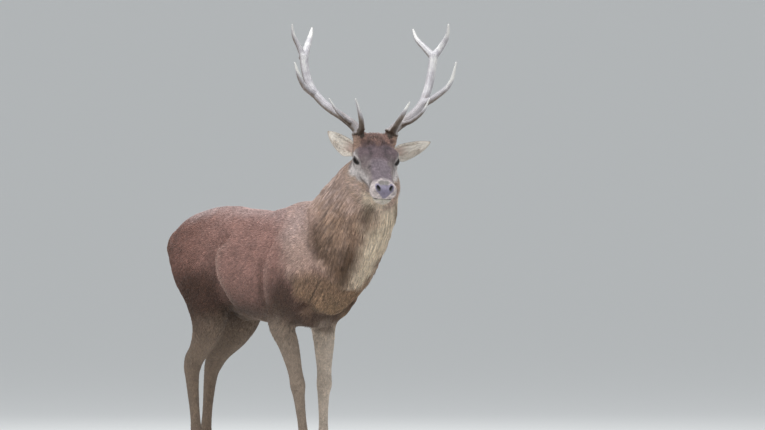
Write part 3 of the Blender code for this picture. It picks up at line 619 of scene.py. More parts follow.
# Folds of the right side, mirrored on the left: bent line, width, depth, and how far the part
# behind the line stays sunken
FOLDS = (
    (((-0.010, -0.190, 1.110), (-0.031, -0.195, 1.073), (-0.095, -0.197, 1.029), (-0.110, -0.197, 0.980),
      (-0.101, -0.197, 0.926), (-0.085, -0.195, 0.873), (-0.062, -0.180, 0.832), (-0.046, -0.150, 0.797),
      (-0.033, -0.100, 0.757)), 0.012, 0.030, 0.120),
    (((0.290, -0.130, 1.190), (0.266, -0.180, 1.080), (0.240, -0.195, 1.010), (0.226, -0.198, 0.940),
      (0.229, -0.195, 0.884), (0.222, -0.190, 0.812), (0.236, -0.170, 0.765)), 0.012, 0.015, 0.080),
    (((0.395, -0.080, 1.235), (0.479, -0.170, 1.160), (0.485, -0.175, 1.108), (0.508, -0.165, 1.043),
      (0.543, -0.145, 0.957), (0.560, -0.130, 0.910)), 0.013, 0.007, 0.050),
    (((-0.300, -0.170, 1.120), (-0.230, -0.190, 1.050), (-0.170, -0.200, 0.960)), 0.034, 0.005, 0.0),
    (((-0.500, -0.120, 1.000), (-0.440, -0.160, 0.900), (-0.390, -0.150, 0.790)), 0.024, 0.005, 0.0),
    (((0.330, -0.180, 0.880), (0.380, -0.180, 0.960), (0.430, -0.170, 1.080)), 0.030, 0.006, 0.0),
    (((0.380, -0.150, 0.775), (0.440, -0.140, 0.792), (0.480, -0.110, 0.778)), 0.014, 0.010, 0.0),
)


def body_forms():
    """The lofts and masses of trunk, neck, head, legs and tail, before they are fused."""
    trunk = [(x, 0.0, (top + low) / 2, wide, (top - low) / 2, (top - low) / 2, egg)
             for x, top, low, wide, egg in TRUNK]
    neck = [((tx + lx) / 2, 0.004 * i, (tz + lz) / 2, wide, math.hypot(tx - lx, tz - lz) / 2,
             math.hypot(tx - lx, tz - lz) / 2, egg)
            for i, ((tx, tz), (lx, lz), wide, egg) in enumerate(NECK)]
    forms = [loft(trunk, power=2.15, domes=(0.046, 0.05)), loft(neck, power=2.1, domes=(0.04, 0.04))]
    for rows, power, dome in ((SKULL, 2.3, 0.019), (JAW, 2.2, 0.014)):
        rows = [(t, 0.0, (top + low) / 2, wide, (top - low) / 2, (top - low) / 2, 0.0)
                for t, top, low, wide in rows]
        forms.append(loft(rows, power=power, domes=(0.02, dome), place=from_head))
    forms += [ball(mirrored(middle, side), radii, from_head)
              for side in (1, -1) for middle, radii in PAIRED_MASSES]
    forms.append(ball(*CHIN_MASS, from_head))
    for foot in STEPS:
        forms.append(loft(leg_rows(foot, top=True), rings=90, around=32, power=2.1, domes=(0.05, 0.0)))
        x, y, z = leg_rows(foot)[6][:3]
        forms += [ball((x - 0.017, y + claw * 0.0125, z - 0.028), (0.015, 0.0125, 0.022)) for claw in (1, -1)]
    tail = [(x, 0.0, z, wide, thick, thick, 0.0) for x, z, wide, thick in TAIL]
    forms.append(loft(tail, rings=30, around=24, domes=(0.0, 0.03)))
    return forms + [ball(*mass) for mass in GROIN_MASSES]


def fold_depth(points):
    """How far each fold sinks the surface: a groove along its line and a slope that fades behind it."""
    depth = np.zeros(len(points))
    for line, width, deep, reach in FOLDS:
        for side in (1.0, -1.0):
            bent = mirrored(line, side)
            gap, along = near_line(points, bent)
            ends = ease(0.0, 0.16, along) * ease(1.0, 0.84, along)
            groove = np.exp(-(gap / width) ** 2)
            if reach:
                edge = np.interp(points[:, 2], bent[::-1, 2], bent[::-1, 0])
                behind = ease(0.006, -0.006, points[:, 0] - edge)
                below = ease(bent[0, 2] + 0.015, bent[0, 2] - 0.055, points[:, 2])
                groove = np.maximum(0.45 * groove, behind * below * np.exp(-(gap / max(reach, width)) ** 2))
            depth += deep * ends * groove
    return depth


def coat_depth(points):
    """How far the skin lies inside the tips of the coat."""
    x, y, z = points.T
    head = in_head(points)
    ahead = before_breast(points)
    local = to_head(points)
    face = ease(0.06, 0.16, local[:, 0]) * head
    close = ease(0.34, 0.25, away(local, HEAD_OVAL))
    throat = ease(0.02, 0.16, x * 0.60 - z * 0.80 + 0.56)
    depth = 0.0030 + 0.0070 * ease(0.00, 0.12, ahead) * (1.0 - 0.8 * close)
    depth += 0.006 * throat * ease(0.02, 0.12, ahead) * (1.0 - close)
    depth += 0.012 * ease(0.03, 0.10, y) * bump(z, 1.29, 0.12) * ease(0.02, 0.12, ahead)
    depth = depth * (1.0 - 0.65 * head) * (1.0 - 0.6 * face) * (1.0 - at_antlers(points))
    thigh = ease(0.50, 0.56, z) * ease(0.80, 0.70, z) * (x < 0.0)
    rear = 0.0030 * ease(-0.570, -0.600, x)
    return depth * (1.0 - 0.62 * ease(0.72, 0.58, z)) - 0.005 * thigh + rear


def make_skin():
    """Trunk, neck, head, legs and tail as one surface: fused, relaxed, drawn in, then folded and carved."""
    mesh = remeshed("skin", body_forms(), SKIN_VOXEL)
    where = read_points(mesh)
    soft = ease(0.52, 0.72, where[:, 2]) * (1.0 - 0.75 * in_head(where))
    soft *= 1.0 - 0.85 * ease(-0.56, -0.60, where[:, 0])
    soft *= 1.0 - 0.5 * ease(-0.44, -0.50, where[:, 0])
    relax(mesh, 24, (0.15 + 0.85 * soft) * (1.0 - 0.9 * at_antlers(where)))
    refine(mesh, in_head(read_points(mesh)) > 0.35)
    where = read_points(mesh)
    relax(mesh, 8, (0.6 * in_head(where) + 0.05) * (1.0 - 0.5 * at_antlers(where)))
    local = to_head(read_points(mesh))
    fine = (local[:, 0] > 0.335) & (local[:, 0] < 0.46) & (np.abs(local[:, 1]) < 0.09)
    for side in (1, -1):
        fine |= away(local, (EYE[0] + 0.008, side * EYE[1] * 1.1, EYE[2])) < 0.040
    refine(mesh, fine)
    where = read_points(mesh)
    where -= read_normals(mesh) * coat_depth(where)[:, None]
    write_points(mesh, where)
    normals = read_normals(mesh)
    where -= normals * fold_depth(where)[:, None]
    trunk = ease(0.70, 0.80, where[:, 2]) * (1.0 - in_head(where))
    ripple = 0.0022 * drift(where, 0.17, 3) + 0.0008 * drift(where, 0.06, 4) + 0.0005 * drift(where, 0.022, 5)
    where += normals * (trunk * ripple)[:, None]
    local = to_head(where)
    chosen = away(local, HEAD_OVAL, HEAD_OVAL_RADII) < 1.2
    where[chosen] = from_head(carve_face(local[chosen]))
    write_points(mesh, where)
    return mesh


# Markings and painted shade, which skin and coat share

def paint(red, green, blue):
    """A colour named by its screen values, as the linear one that shaders use."""
    value = np.array((red, green, blue)) / 255.0
    return np.where(value <= 0.04045, value / 12.92, ((value + 0.055) / 1.055) ** 2.4)


FLANK_RED = paint(160, 122, 112)
# Pale of the shoulders; the same colour is also painted as a highlight on the rims of the folds
RUMP_RED = paint(134, 97, 86)
# Grey of the back, laid along its top partly as a painted highlight of the light from above
BACK_GREY_AND_TOP_LIGHT = paint(192, 169, 165)
SHOULDER_PALE_AND_RIM_HIGHLIGHT = paint(190, 162, 149)
# Painted shade: darker browns laid where shade falls at the elbows, belly and thighs
ELBOW_SHADE = paint(66, 45, 33)
BELLY_SHADE = paint(61, 41, 27)
THIGH_SHADE = paint(67, 43, 30)
LEG_BROWN = paint(126, 108, 92)
# Tan of the forelegs, laid much stronger on the left foreleg as a painted light
FORELEG_TAN_AND_HIGHLIGHT = paint(200, 184, 168)
RUMP_CREAM = paint(190, 160, 124)
TAIL_BROWN = paint(136, 100, 74)
NECK_BROWN = paint(161, 133, 113)
NECK_GREY = paint(186, 163, 153)
MANE_GREY = paint(222, 205, 182)
MANE_LOW = paint(76, 51, 28)
BRISKET = paint(138, 112, 86)
# Painted shade along the mane's edge
MANE_EDGE_SHADE = paint(78, 56, 40)
# Painted shadow under the chin
CHIN_SHADOW = paint(92, 78, 60)
FACE_GREY = paint(134, 122, 120)
JAW_BROWN = paint(190, 165, 146)
CHEEK_PALE = paint(220, 212, 209)
FOREHEAD = paint(116, 98, 102)
BROW_DARK = paint(74, 62, 66)
BRIDGE = paint(128, 115, 121)
FORELOCK = paint(158, 126, 114)
FORELOCK_DARK = paint(90, 71, 67)
TEMPLE = paint(182, 152, 134)
MUZZLE_PALE = paint(232, 219, 215)
NOSE_TOP = paint(140, 134, 130)
NOSE_PAD = paint(135, 127, 147)
# Painted shade in the nostrils and along the mouth line
NOSTRIL_AND_MOUTH_SHADE = paint(22, 18, 20)
CHIN = paint(204, 196, 178)
LID_DARK = paint(34, 27, 25)
EAR_PALE = paint(231, 223, 212)
EAR_PINK = paint(200, 176, 164)
EAR_SHADE = paint(136, 120, 106)
EAR_BACK = paint(140, 114, 98)


def layered(tone, *layers):
    """Colours laid over a tone one after another, each by its share from 0 to 1 at each point."""
    for colour, share in layers:
        tone = tone + (colour - tone) * np.clip(share, 0.0, 1.0)[:, None]
    return tone


def bare_nose(local):
    """1 on the hairless pad between and over the nostrils and down to the lip, 0 elsewhere."""
    t, across, up = local[:, 0], np.abs(local[:, 1]), local[:, 2]
    half = np.interp(up, (-0.105, -0.092, -0.070, -0.045), (0.004, 0.012, 0.032, 0.036))
    pad = ease(0.384, 0.394, t) * ease(half + 0.003, half - 0.003, across)
    return pad * ease(-0.106, -0.098, up) * ease(-0.040, -0.046, up + 0.25 * across)


def nostril_gap(local, side):
    """Distance from the middle of a nostril as a share of its comma-shaped opening."""
    gap = mirrored(local - mirrored(NOSTRIL_MIDDLE, side), side)
    along = gap[:, 1] * 0.50 + gap[:, 2] * 0.86
    cross = gap[:, 1] * 0.86 - gap[:, 2] * 0.50 + 5.0 * along**2
    return np.sqrt((gap[:, 0] / 0.020) ** 2 + (along / 0.0120) ** 2 + (cross / 0.0075) ** 2)


def neck_front(z):
    """How far ahead the front of the neck is at each height."""
    return np.interp(z, (0.788, 0.888, 1.030, 1.170, 1.290), (0.536, 0.634, 0.748, 0.812, 0.832))


def trunk_tone_and_shade(points, blur, breast):
    """Red flanks, a grey back lightened along its top by a painted highlight, pale shoulders, painted shade
    on the elbows, belly, groin, thighs and rear of the rump and behind three folds with a painted highlight
    on their rims, brown legs with a painted light on the left foreleg, a cream rump.
    """
    x, y, z = points.T
    side = np.abs(y)
    sweep = x + 0.25 * (z - 1.05) + blur
    elbow = away(points, (0.368, 0.0, 0.836), (0.110, 1.0, 0.075)) + 6 * blur
    thigh = ease(-0.07, -0.17, x) * ease(0.98, 0.86, z + blur)
    tone = layered(
        FLANK_RED,
        (RUMP_RED, ease(-0.10, -0.34, x)),
        # Grey along the top of the back and the withers, partly a painted highlight where the top light falls
        (BACK_GREY_AND_TOP_LIGHT, (0.55 + 0.4 * ease(-0.20, -0.30, x)) * ease(0.16, 0.04, side + blur)
         * ease(1.08, 1.18, z)),
        (SHOULDER_PALE_AND_RIM_HIGHLIGHT, 0.92 * ease(0.22, 0.43, sweep) * ease(0.86, 0.98, z + blur)),
        (BACK_GREY_AND_TOP_LIGHT, 0.5 * bump(x, 0.37, 0.09) * ease(1.00, 1.14, z)),
        # Painted shade: the elbow, the belly and lower trunk, the thighs and the rear edge of the rump
        (ELBOW_SHADE, 0.85 * ease(1.7, 0.1, elbow)),
        (BELLY_SHADE, 0.85 * ease(0.84, 0.75, z + blur)),
        (BELLY_SHADE, 0.38 * ease(0.98, 0.82, z + blur)),
        (THIGH_SHADE, thigh * (0.92 - 0.42 * ease(-0.30, -0.40, x) * ease(0.62, 0.74, z))),
        (THIGH_SHADE, 0.6 * ease(-0.36, -0.50, x) * ease(1.10, 1.00, z + blur)),
        (BRISKET, 0.75 * breast),
        # Painted shade in the groin between the hind legs
        (BELLY_SHADE, ease(0.0, -0.05, x) * ease(0.80, 0.76, z) * ease(0.16, 0.12, side)),
    )
    # Painted shade along three folds, set behind each fold line, and a painted highlight on its rim: how
    # dark, how wide, how far behind the fold, and how pale its rim is
    for line, strength, wide, behind, rim in ((FOLDS[0][0], 1.0, 0.027, 0.044, 0.40),
                                              (FOLDS[1][0], 0.7, 0.017, 0.024, 0.22),
                                              (FOLDS[6][0], 0.8, 0.020, 0.010, 0.0)):
        for flank in (1.0, -1.0):
            gap, along = near_line(points, mirrored(line, flank) - (behind, 0.0, 0.0))
            rim_gap, _ = near_line(points, mirrored(line, flank) + (0.022, 0.0, 0.0))
            ends = ease(0.0, 0.25, along) * ease(1.0, 0.9, along)
            tone = layered(tone, (THIGH_SHADE, strength * ends * np.exp(-(gap / wide) ** 2)),
                           (SHOULDER_PALE_AND_RIM_HIGHLIGHT, rim * ends * np.exp(-(rim_gap / wide) ** 2)))
    return layered(
        tone,
        (LEG_BROWN, ease(0.82, 0.62, z + blur) * (0.40 + 0.60 * ease(0.78, 0.70, z))),
        # Forelegs slightly tan, with a painted light on the left foreleg
        (FORELEG_TAN_AND_HIGHLIGHT, ease(0.73, 0.66, z + blur) * (x > 0.05) * (0.22 + 0.78 * (y > 0))),
        # The same dark brown just above the hooves
        (THIGH_SHADE, 0.7 * ease(0.12, 0.07, z)),
        (RUMP_CREAM, ease(-0.50, -0.56, x) * ease(0.12, 0.07, side + blur) * bump(z, 0.97, 0.14)),
        (TAIL_BROWN, ease(-0.585, -0.600, x) * (z > 0.86) * (side < 0.05)),
    )


def markings(points):
    """The colour of hair or bare skin at each place, in the stance frame, with painted shade along the mane's
    edge and below the brisket, and a painted shadow under the chin.
    """
    x, y, z = points.T
    side = np.abs(y)
    ahead = before_breast(points)
    head = in_head(points)
    blur = 0.03 * drift(points, 0.25, 11) + 0.012 * drift(points, 0.07, 15)
    left = 0.05 * ease(0.0, 0.05, y)
    over_brisket = z + 3.0 * blur - np.clip(0.78 - 1.2 * (x - 0.40), 0.64, 0.78) + left
    breast = ease(0.41, 0.51, x + 2.0 * blur + left) * ease(0.0, 0.09, over_brisket) * ease(0.98, 0.90, z)
    tone = trunk_tone_and_shade(points, blur, breast)
    mane = ease(-0.030, 0.100, ahead + 1.5 * blur) * (1.0 - head)
    front = ease(0.125, 0.020, np.abs(y - 0.020) + 1.2 * blur) * ease(-0.125, -0.040, x - neck_front(z))
    hair = layered(
        NECK_BROWN,
        (NECK_GREY, 0.8 * ease(1.14, 1.32, z) + 0.3 * drift(points, 0.05, 16)),
        (MANE_LOW, ease(1.08, 0.94, z + 1.5 * blur) * (1.0 - front) * ease(0.04, 0.13, ahead)),
        (MANE_LOW, 0.85 * bump(side, 0.080, 0.035) * ease(1.14, 1.04, z) * (x > 0.55) * (1.0 - front)),
        (MANE_GREY, front * ease(0.86, 0.98, z + 2.0 * blur)),
        (BRISKET, ease(0.98, 0.86, z + 2.0 * blur)),
        # Painted shade below the brisket, between the forelegs
        (ELBOW_SHADE, 0.80 * ease(0.08, -0.03, over_brisket)),
    )
    # Painted shade along the mane's edge, where it meets the shoulder, and in a broader band just ahead of it
    edge = (0.20 * bump(ahead, 0.002, 0.006) + 0.62 * bump(ahead, 0.055, 0.045)) * ease(0.08, 0.13, side)
    tone = layered(tone, (hair, mane), (MANE_EDGE_SHADE, edge * ease(0.98, 1.05, z) * ease(1.22, 1.14, z)))
    combed = np.stack((x - (0.775 - 0.60 * front) * z, y, 0.06 * z), axis=1)
    streaks = drift(combed, 0.022, 44) + 0.9 * drift(combed, 0.010, 45)
    strong = 0.23 + 0.19 * ease(1.04, 0.90, z)
    tone = tone * (1.0 + strong * streaks * np.maximum(mane, breast))[:, None].clip(0.40, 1.7)
    # Painted shadow under the chin, in the hollow of the throat
    hollow = away(np.stack((x, side, z), axis=1), (0.806, 0.066, 1.228), (0.050, 0.026, 0.034)) + 10.0 * blur
    tone = layered(tone, (face_markings(to_head(points)), head), (CHIN_SHADOW, 0.75 * ease(1.5, 0.4, hollow)))
    return tone * (1.0 + 0.09 * drift(points, 0.09, 13) + 0.08 * drift(points, 0.030, 14))[:, None]


def on_crown(local):
    """1 on the cap of curly hair between and around the antlers, fading to 0 over brow and temples."""
    t, across, up = local[:, 0], np.abs(local[:, 1]), local[:, 2]
    brow = ease(0.138, 0.098, t + 0.36 * across)
    temple = ease(0.080, 0.094, across) * ease(-0.030, -0.010, up)
    return brow * ease(-0.036, -0.008, up) * ease(-0.10, -0.05, t) * (1.0 - temple)


def face_markings(local):
    """The colours of the head, in its own frame, with painted shade in the nostrils and along the mouth line.
    """
    t, across, up = local[:, 0], np.abs(local[:, 1]), local[:, 2]
    blur = 0.006 * drift(local, 0.05, 17) + 0.003 * drift(local, 0.015, 18)
    pale = ease(0.035, 0.065, t) * ease(0.19, 0.15, t + blur) * ease(-0.062, -0.080, up)
    arc = np.sqrt(((t - 0.148) / 0.042) ** 2 + ((across - 0.062) / 0.040) ** 2)
    crown = on_crown(local + 1.6 * blur[:, None])
    tick = away(local, (0.229, -0.041, -0.031), (0.007, 0.013, 0.010))
    face = layered(
        FACE_GREY,
        (JAW_BROWN, ease(-0.105, -0.130, up + blur) + ease(0.03, 0.0, t)),
        (CHEEK_PALE, pale * ease(-0.140, -0.118, up + blur)),
        (CHEEK_PALE, 0.7 * ease(0.14, 0.20, t) * ease(0.33, 0.28, t) * bump(up, -0.078, 0.020)),
        (BRIDGE, ease(0.050, 0.036, across + blur) * ease(0.15, 0.20, t)),
        (FOREHEAD, ease(0.092, 0.076, across + blur) * ease(0.215, 0.175, t + blur)
         * ease(-0.040, -0.020, up + 0.10 * t)),
        (BROW_DARK, 0.75 * bump(arc, 0.75, 0.30) * ease(-0.03, -0.01, up) * (across < 0.066)),
        (FORELOCK, crown),
        (FORELOCK_DARK, 0.8 * crown * np.clip(0.5 + drift(local, 0.028, 19), 0.0, 1.0)),
        (TEMPLE, 0.8 * ease(0.062, 0.082, across + blur) * ease(0.105, 0.075, t) * ease(-0.05, -0.02, up)),
        (BROW_DARK, 0.8 * ease(1.5, 0.6, tick)),
        (MUZZLE_PALE, ease(0.330, 0.362, t + 1.5 * blur) * (0.75 + 0.25 * drift(local, 0.02, 20))),
        (NOSE_TOP, ease(0.345, 0.362, t) * ease(0.028, 0.020, across + blur) * (up > -0.055)),
    )
    holes = [nostril_gap(local, flank) for flank in (1, -1)]
    for flank, hole in zip((1, -1), holes):
        gap, _, _, out = lid_shape(local, flank)
        near = (out > -0.01) * near_eye(local, flank)
        gland, _ = near_line(local, [(0.142, flank * 0.086, -0.049), (0.168, flank * 0.080, -0.060)])
        face = layered(
            face,
            (CHEEK_PALE, 0.80 * bump(gap, 0.0100, 0.0060) * near),
            (LID_DARK, ease(0.0042, 0.0022, gap) * near),
            (LID_DARK, 0.55 * ease(0.0050, 0.0020, gland)),
            (NOSE_PAD, ease(1.9, 1.5, hole)),
        )
    # Painted shade in the nostrils
    face = layered(face, (NOSE_PAD, bare_nose(local)), *[(NOSTRIL_AND_MOUTH_SHADE, ease(1.25, 0.90, hole)) for hole in holes])
    chin = ease(0.310, 0.345, t) * ease(-0.106, -0.112, up) * (0.7 + 0.3 * drift(local, 0.016, 29))
    face = layered(face, (CHIN, chin))
    # Painted shade along the mouth line, where the lips meet
    for flank in (1, -1):
        gap, along = near_line(local, lip_line(flank))
        face = layered(face, (NOSTRIL_AND_MOUTH_SHADE, 0.95 * ease(0.0062, 0.0034, gap) * ease(1.0, 0.8, along)))
    brow_side = away(np.stack((t, across, up), 1), (0.170, 0.060, -0.030), (0.030, 0.022, 0.030))
    face = layered(face, (FACE_GREY, 0.75 * bump(brow_side, 0.0, 1.0)))
    mottle = 0.15 * drift(local, 0.024, 48) + 0.12 * drift(local, 0.010, 49)
    face = face * (1.0 + mottle * ease(0.40, 0.34, t))[:, None]
    return layered(
        face,
        (NECK_GREY, ease(-0.120, -0.150, up) * (0.5 + 0.5 * drift(local, 0.03, 50))),
        (MANE_GREY, 0.8 * ease(0.30, 0.24, t) * ease(-0.145, -0.172, up) * ease(0.062, 0.030, across)),
    )


# The lie of the coat

def lie_of_coat(points, normals):
    """The way the hair lies at each place: back along the trunk, down the neck and legs, up the face."""
    x, y, z = points.T
    side = np.abs(y)
    ahead = before_breast(points)
    local = to_head(points)
    throat = ease(0.00, 0.20, x * 0.60 - z * 0.80 + 0.56)
    back, cheek = np.array((-0.97, 0.0, 0.05)), np.array((-0.80, 0.0, -0.50))
    face = layered(back, (cheek, ease(-0.06, -0.14, local[:, 2]))) @ HEAD_GRID[:3, :3].T
    turns = (
        ((-0.80, 0.0, -0.65), ease(1.12, 0.90, z) * (side > 0.10)),
        ((-1.0, 0.0, -0.05), ease(0.76, 0.72, z) * (side < 0.14)),
        ((-0.45, 0.0, -0.90), ease(-0.15, -0.30, x) * ease(1.08, 0.92, z)),
        ((-0.15, 0.0, -1.0), ease(-0.50, -0.57, x)),
        ((-0.55, 0.0, -0.85), ease(0.20, 0.34, x) * ease(1.10, 0.90, z)),
        ((-0.62, 0.0, -0.80), ease(-0.02, 0.08, ahead)),
        ((-0.14, 0.0, -1.0), throat * ease(0.0, 0.10, ahead)),
        ((-0.05, 0.0, -1.0), ease(0.72, 0.60, z)),
        (face, in_head(points)),
    )
    lie = layered(np.array((-1.0, 0.0, -0.22)), *[(np.asarray(way), share) for way, share in turns])
    lie -= normals * np.sum(lie * normals, axis=1, keepdims=True)
    return unit(lie)


SPINE = ((-0.62, 0.0, 1.00), (-0.45, 0.0, 1.03), (-0.10, 0.0, 0.965), (0.28, 0.0, 0.965), (0.50, 0.0, 1.03),
         (0.66, 0.0, 1.22), (0.76, 0.012, 1.40))


def unwrap(points, part):
    """Each place as (along, around) of the part that it is on: body, head or the four legs side by side."""
    if part == "head":
        local = to_head(points)
        return np.stack((local[:, 0], np.arctan2(local[:, 1], local[:, 2] + 0.085)), axis=1)
    if part == "legs":
        out = np.zeros((len(points), 2))
        best = np.full(len(points), 1e9)
        for place, foot in enumerate(STEPS):
            axis = np.array(leg_rows(foot, top=True))[:, :3]
            gap, _ = near_line(points, axis)
            middle = [np.interp(-points[:, 2], -axis[:, 2], axis[:, k]) for k in range(2)]
            angle = np.arctan2(points[:, 1] - middle[1], points[:, 0] - middle[0]) / 6.4 + 0.5
            closer = (gap < best)[:, None]
            best = np.minimum(best, gap)
            out = np.where(closer, np.stack((place + 0.94 * angle, points[:, 2]), axis=1), out)
        return out
    _, along = near_line(points, SPINE)
    way = unit(at_share(np.gradient(SPINE, axis=0), along))
    up = unit(np.cross(way, (0.0, 1.0, 0.0)))
    off = points - at_share(SPINE, along)
    return np.stack((along, np.arctan2(off[:, 1], np.sum(off * up, axis=1))), axis=1)


# Tufts

def cube_of(points, size):
    """One number for the small cube that each point is in."""
    cell = np.floor(points / size).astype(np.int64) + 2048
    return (cell[:, 0] * 4096 + cell[:, 1]) * 4096 + cell[:, 2]


def means(group, values):
    """The mean of the values of each group."""
    return np.stack([np.bincount(group, column) for column in values.T], axis=1) / np.bincount(group)[:, None]


def clump_of(root, size):
    """Which clump each root belongs to: those that share a cube of that size."""
    return np.unique(cube_of(root, size), return_inverse=True)[1].ravel()


def scatter(skin, weight, spacing, seed):
    """Roots spread over the skin: random spots by area and weight, thinned to one in each small cube."""
    rng = np.random.default_rng(seed)
    corner = skin["points"][skin["tri"]]
    area = 0.5 * np.linalg.norm(np.cross(corner[:, 1] - corner[:, 0], corner[:, 2] - corner[:, 0]), axis=1)
    chance = np.cumsum(area * (weight[skin["tri"]].mean(axis=1) > 0.004))
    pick = np.searchsorted(chance, rng.random(int(chance[-1] / spacing**2 * 2.4)) * chance[-1])
    pick = np.minimum(pick, len(chance) - 1)
    u, v = rng.random((2, len(pick)))
    over = u + v > 1.0
    u, v = np.where(over, 1.0 - u, u), np.where(over, 1.0 - v, v)
    share = np.stack((1.0 - u - v, u, v), axis=1)[..., None]
    tri = skin["tri"][pick]
    root = (skin["points"][tri] * share).sum(axis=1)
    normal = unit((skin["normals"][tri] * share).sum(axis=1))
    keep = rng.random(len(root)) < (weight[tri][..., None] * share).sum(axis=1)[:, 0]
    root, normal = root[keep], normal[keep]
    first = np.unique(cube_of(root, spacing), return_index=True)[1]
    return root[first], normal[first]


def skin_cells(skin, size):
    """The skin's mean place and facing in each small cube that it passes through."""
    keys, group = np.unique(cube_of(skin["points"], size), return_inverse=True)
    group = group.ravel()
    facing = means(group, skin["normals"])
    flat = np.linalg.norm(facing, axis=1) > 0.8
    return size, keys[flat], means(group, skin["points"])[flat], unit(facing[flat])


def kept_out(points, cells, room):
    """Points moved out until they stand clear of the skin's mean plane in their small cube."""
    size, keys, place, facing = cells
    key = cube_of(points, size)
    found = np.minimum(np.searchsorted(keys, key), len(keys) - 1)
    gap = np.sum((points - place[found]) * facing[found], axis=1)
    push = np.clip(room - gap, 0.0, 0.012) * (keys[found] == key)
    return points + facing[found] * push[:, None]


def tufts(root, normal, lie, length, width, rng, lift, droop=0.0, clump=0.0, clump_size=0.024,
          wander=10.0, rings=2, curl=0.0, cells=()):
    """Thin closed blades of three sides, as points by blade. From its root a blade's middle line
    runs along the lie of the coat, tilted out by the lift, which fades towards the tip, and
    pulled down by the droop. Its width is a leaf's: narrow at the root, full at a third, nothing
    at the tip. Blades rooted in one clump lean their tips together, and all keep out of the skin."""
    count = len(root)
    lift, wander, curl = [value(root) if callable(value) else value for value in (lift, wander, curl)]
    side = np.cross(normal, lie)
    turn = np.radians(rng.normal(0.0, wander, count))[:, None]
    lie = lie * np.cos(turn) + side * np.sin(turn)
    length = length * rng.uniform(0.72, 1.22, count)
    width = width * rng.uniform(0.75, 1.25, count)
    angle = np.radians(lift * rng.uniform(0.5, 1.5, count))
    bend = rng.uniform(-curl, curl, count)
    spot = root - normal * (0.035 * length)[:, None]
    path = [spot]
    for k in range(rings):
        s = (k + 0.5) / rings
        tilt = (angle * (1.0 - 1.15 * s))[:, None]
        way = lie * np.cos(tilt) + normal * np.sin(tilt)
        way = way + np.array((0.0, 0.0, -1.0)) * (droop * s) + side * (bend * (s - 0.3))[:, None]
        spot = spot + unit(way) * (length / rings)[:, None]
        for grid, room in cells:
            spot = kept_out(spot, grid, room)
        path.append(spot)
    path = np.stack(path, axis=1)
    if clump:
        group = clump_of(root, clump_size)
        pull = (np.arange(rings + 1) / rings) ** 1.6 * clump
        path = path + (means(group, path[:, -1])[group] - path[:, -1])[:, None] * pull[None, :, None]
        for grid, room in cells[1:]:
            path[:, 1:] = kept_out(path[:, 1:].reshape(-1, 3), grid, room).reshape(count, rings, 3)
    along = unit(np.gradient(path, axis=1))
    broad = unit(np.cross(normal[:, None], along))
    above = np.cross(along, broad)
    leaf = np.interp(np.linspace(0.0, 1.0, rings + 1), (0.0, 0.35, 0.75, 1.0), (0.55, 1.0, 0.62, 0.0))
    half = (0.5 * np.reshape(width, (-1, 1)) * leaf[None])[:, :-1, None]
    middle, broad, above = path[:, :-1], broad[:, :-1] * half, above[:, :-1] * (half * 0.64)
    body = np.stack((middle - broad, middle + above, middle + broad), axis=2).reshape(count, rings * 3, 3)
    return np.concatenate((body, path[:, -1:]), axis=1)


def lay_coat(name, points, tone, place, material, slot):
    """Makes pieces of coat from blades: each with its root's colour, how far along the blade each
    point is, and a small patch of the OFBake map at its root's place on the unwrapped skin."""
    count, per = points.shape[:2]
    rings = (per - 1) // 3
    faces = [(2, 1, 0)]
    for k in range(rings - 1):
        for j in range(3):
            a, b = k * 3 + j, k * 3 + (j + 1) % 3
            faces += [(a, b, b + 3), (a, b + 3, a + 3)]
    top = (rings - 1) * 3
    faces += [(top + j, top + (j + 1) % 3, per - 1) for j in range(3)]
    faces = np.array(faces)
    share = np.linspace(0.0, 1.0, rings + 1)
    patch = np.array([((j - 1) * PATCH / 2, k / rings * PATCH - PATCH / 2)
                      for k in range(rings) for j in range(3)] + [(0.0, PATCH / 2)])
    parts = math.ceil(count * len(faces) / PIECE_LIMIT)
    order = np.argsort(place[:, 0], kind="stable")
    for piece in range(parts):
        mine = order[piece * count // parts:(piece + 1) * count // parts]
        n = len(mine)
        grid = (faces[None] + (np.arange(n) * per)[:, None, None]).reshape(-1, 3)
        title = name if parts == 1 else f"{name}_{piece + 1}"
        obj = put_mesh(title, points[mine].reshape(-1, 3), grid, material)
        give_attribute(obj.data, "tone", np.repeat(tone[mine], per, axis=0))
        give_attribute(obj.data, "along", np.tile(np.append(np.repeat(share[:-1], 3), 1.0), n))
        spread = place[mine]
        low, high = spread.min(axis=0), spread.max(axis=0)
        spread = (spread - low) / (high - low) * 0.975 + 0.010
        uv = (spread[:, None] + patch[None]).reshape(-1, 2)[grid.ravel()].astype(np.float32)
        obj.data.uv_layers.new(name="OFBake").data.foreach_set("uv", uv.ravel())
        settle(obj, slot)


def grow(name, skin, weight, spacing, length, width, material, part, slot, seed, shade, clump_shade, **ways):
    """Grows one region's coat: roots by weight and spacing, blades of the length that a function gives."""
    rng = np.random.default_rng(seed)
    root, normal = scatter(skin, weight, spacing, seed)
    tone = markings(root) * (1.0 + rng.normal(0.0, shade, len(root)))[:, None].clip(0.35, 1.8)
    group = clump_of(root, ways["clump_size"])
    tone = tone * (1.0 + rng.normal(0.0, clump_shade, group.max() + 1))[group][:, None].clip(0.4, 1.7)
    blades = tufts(root, normal, lie_of_coat(root, normal), length(root), width, rng, **ways)
    lay_coat(name, blades, tone, unwrap(root, part), material, slot)


# Materials

def feed(tree, node, inputs):
    """Gives a node its inputs by name: plain values, or links from other nodes."""
    for name, value in inputs.items():
        if isinstance(value, bpy.types.NodeSocket):
            tree.links.new(value, node.inputs[name])
        else:
            node.inputs[name].default_value = value


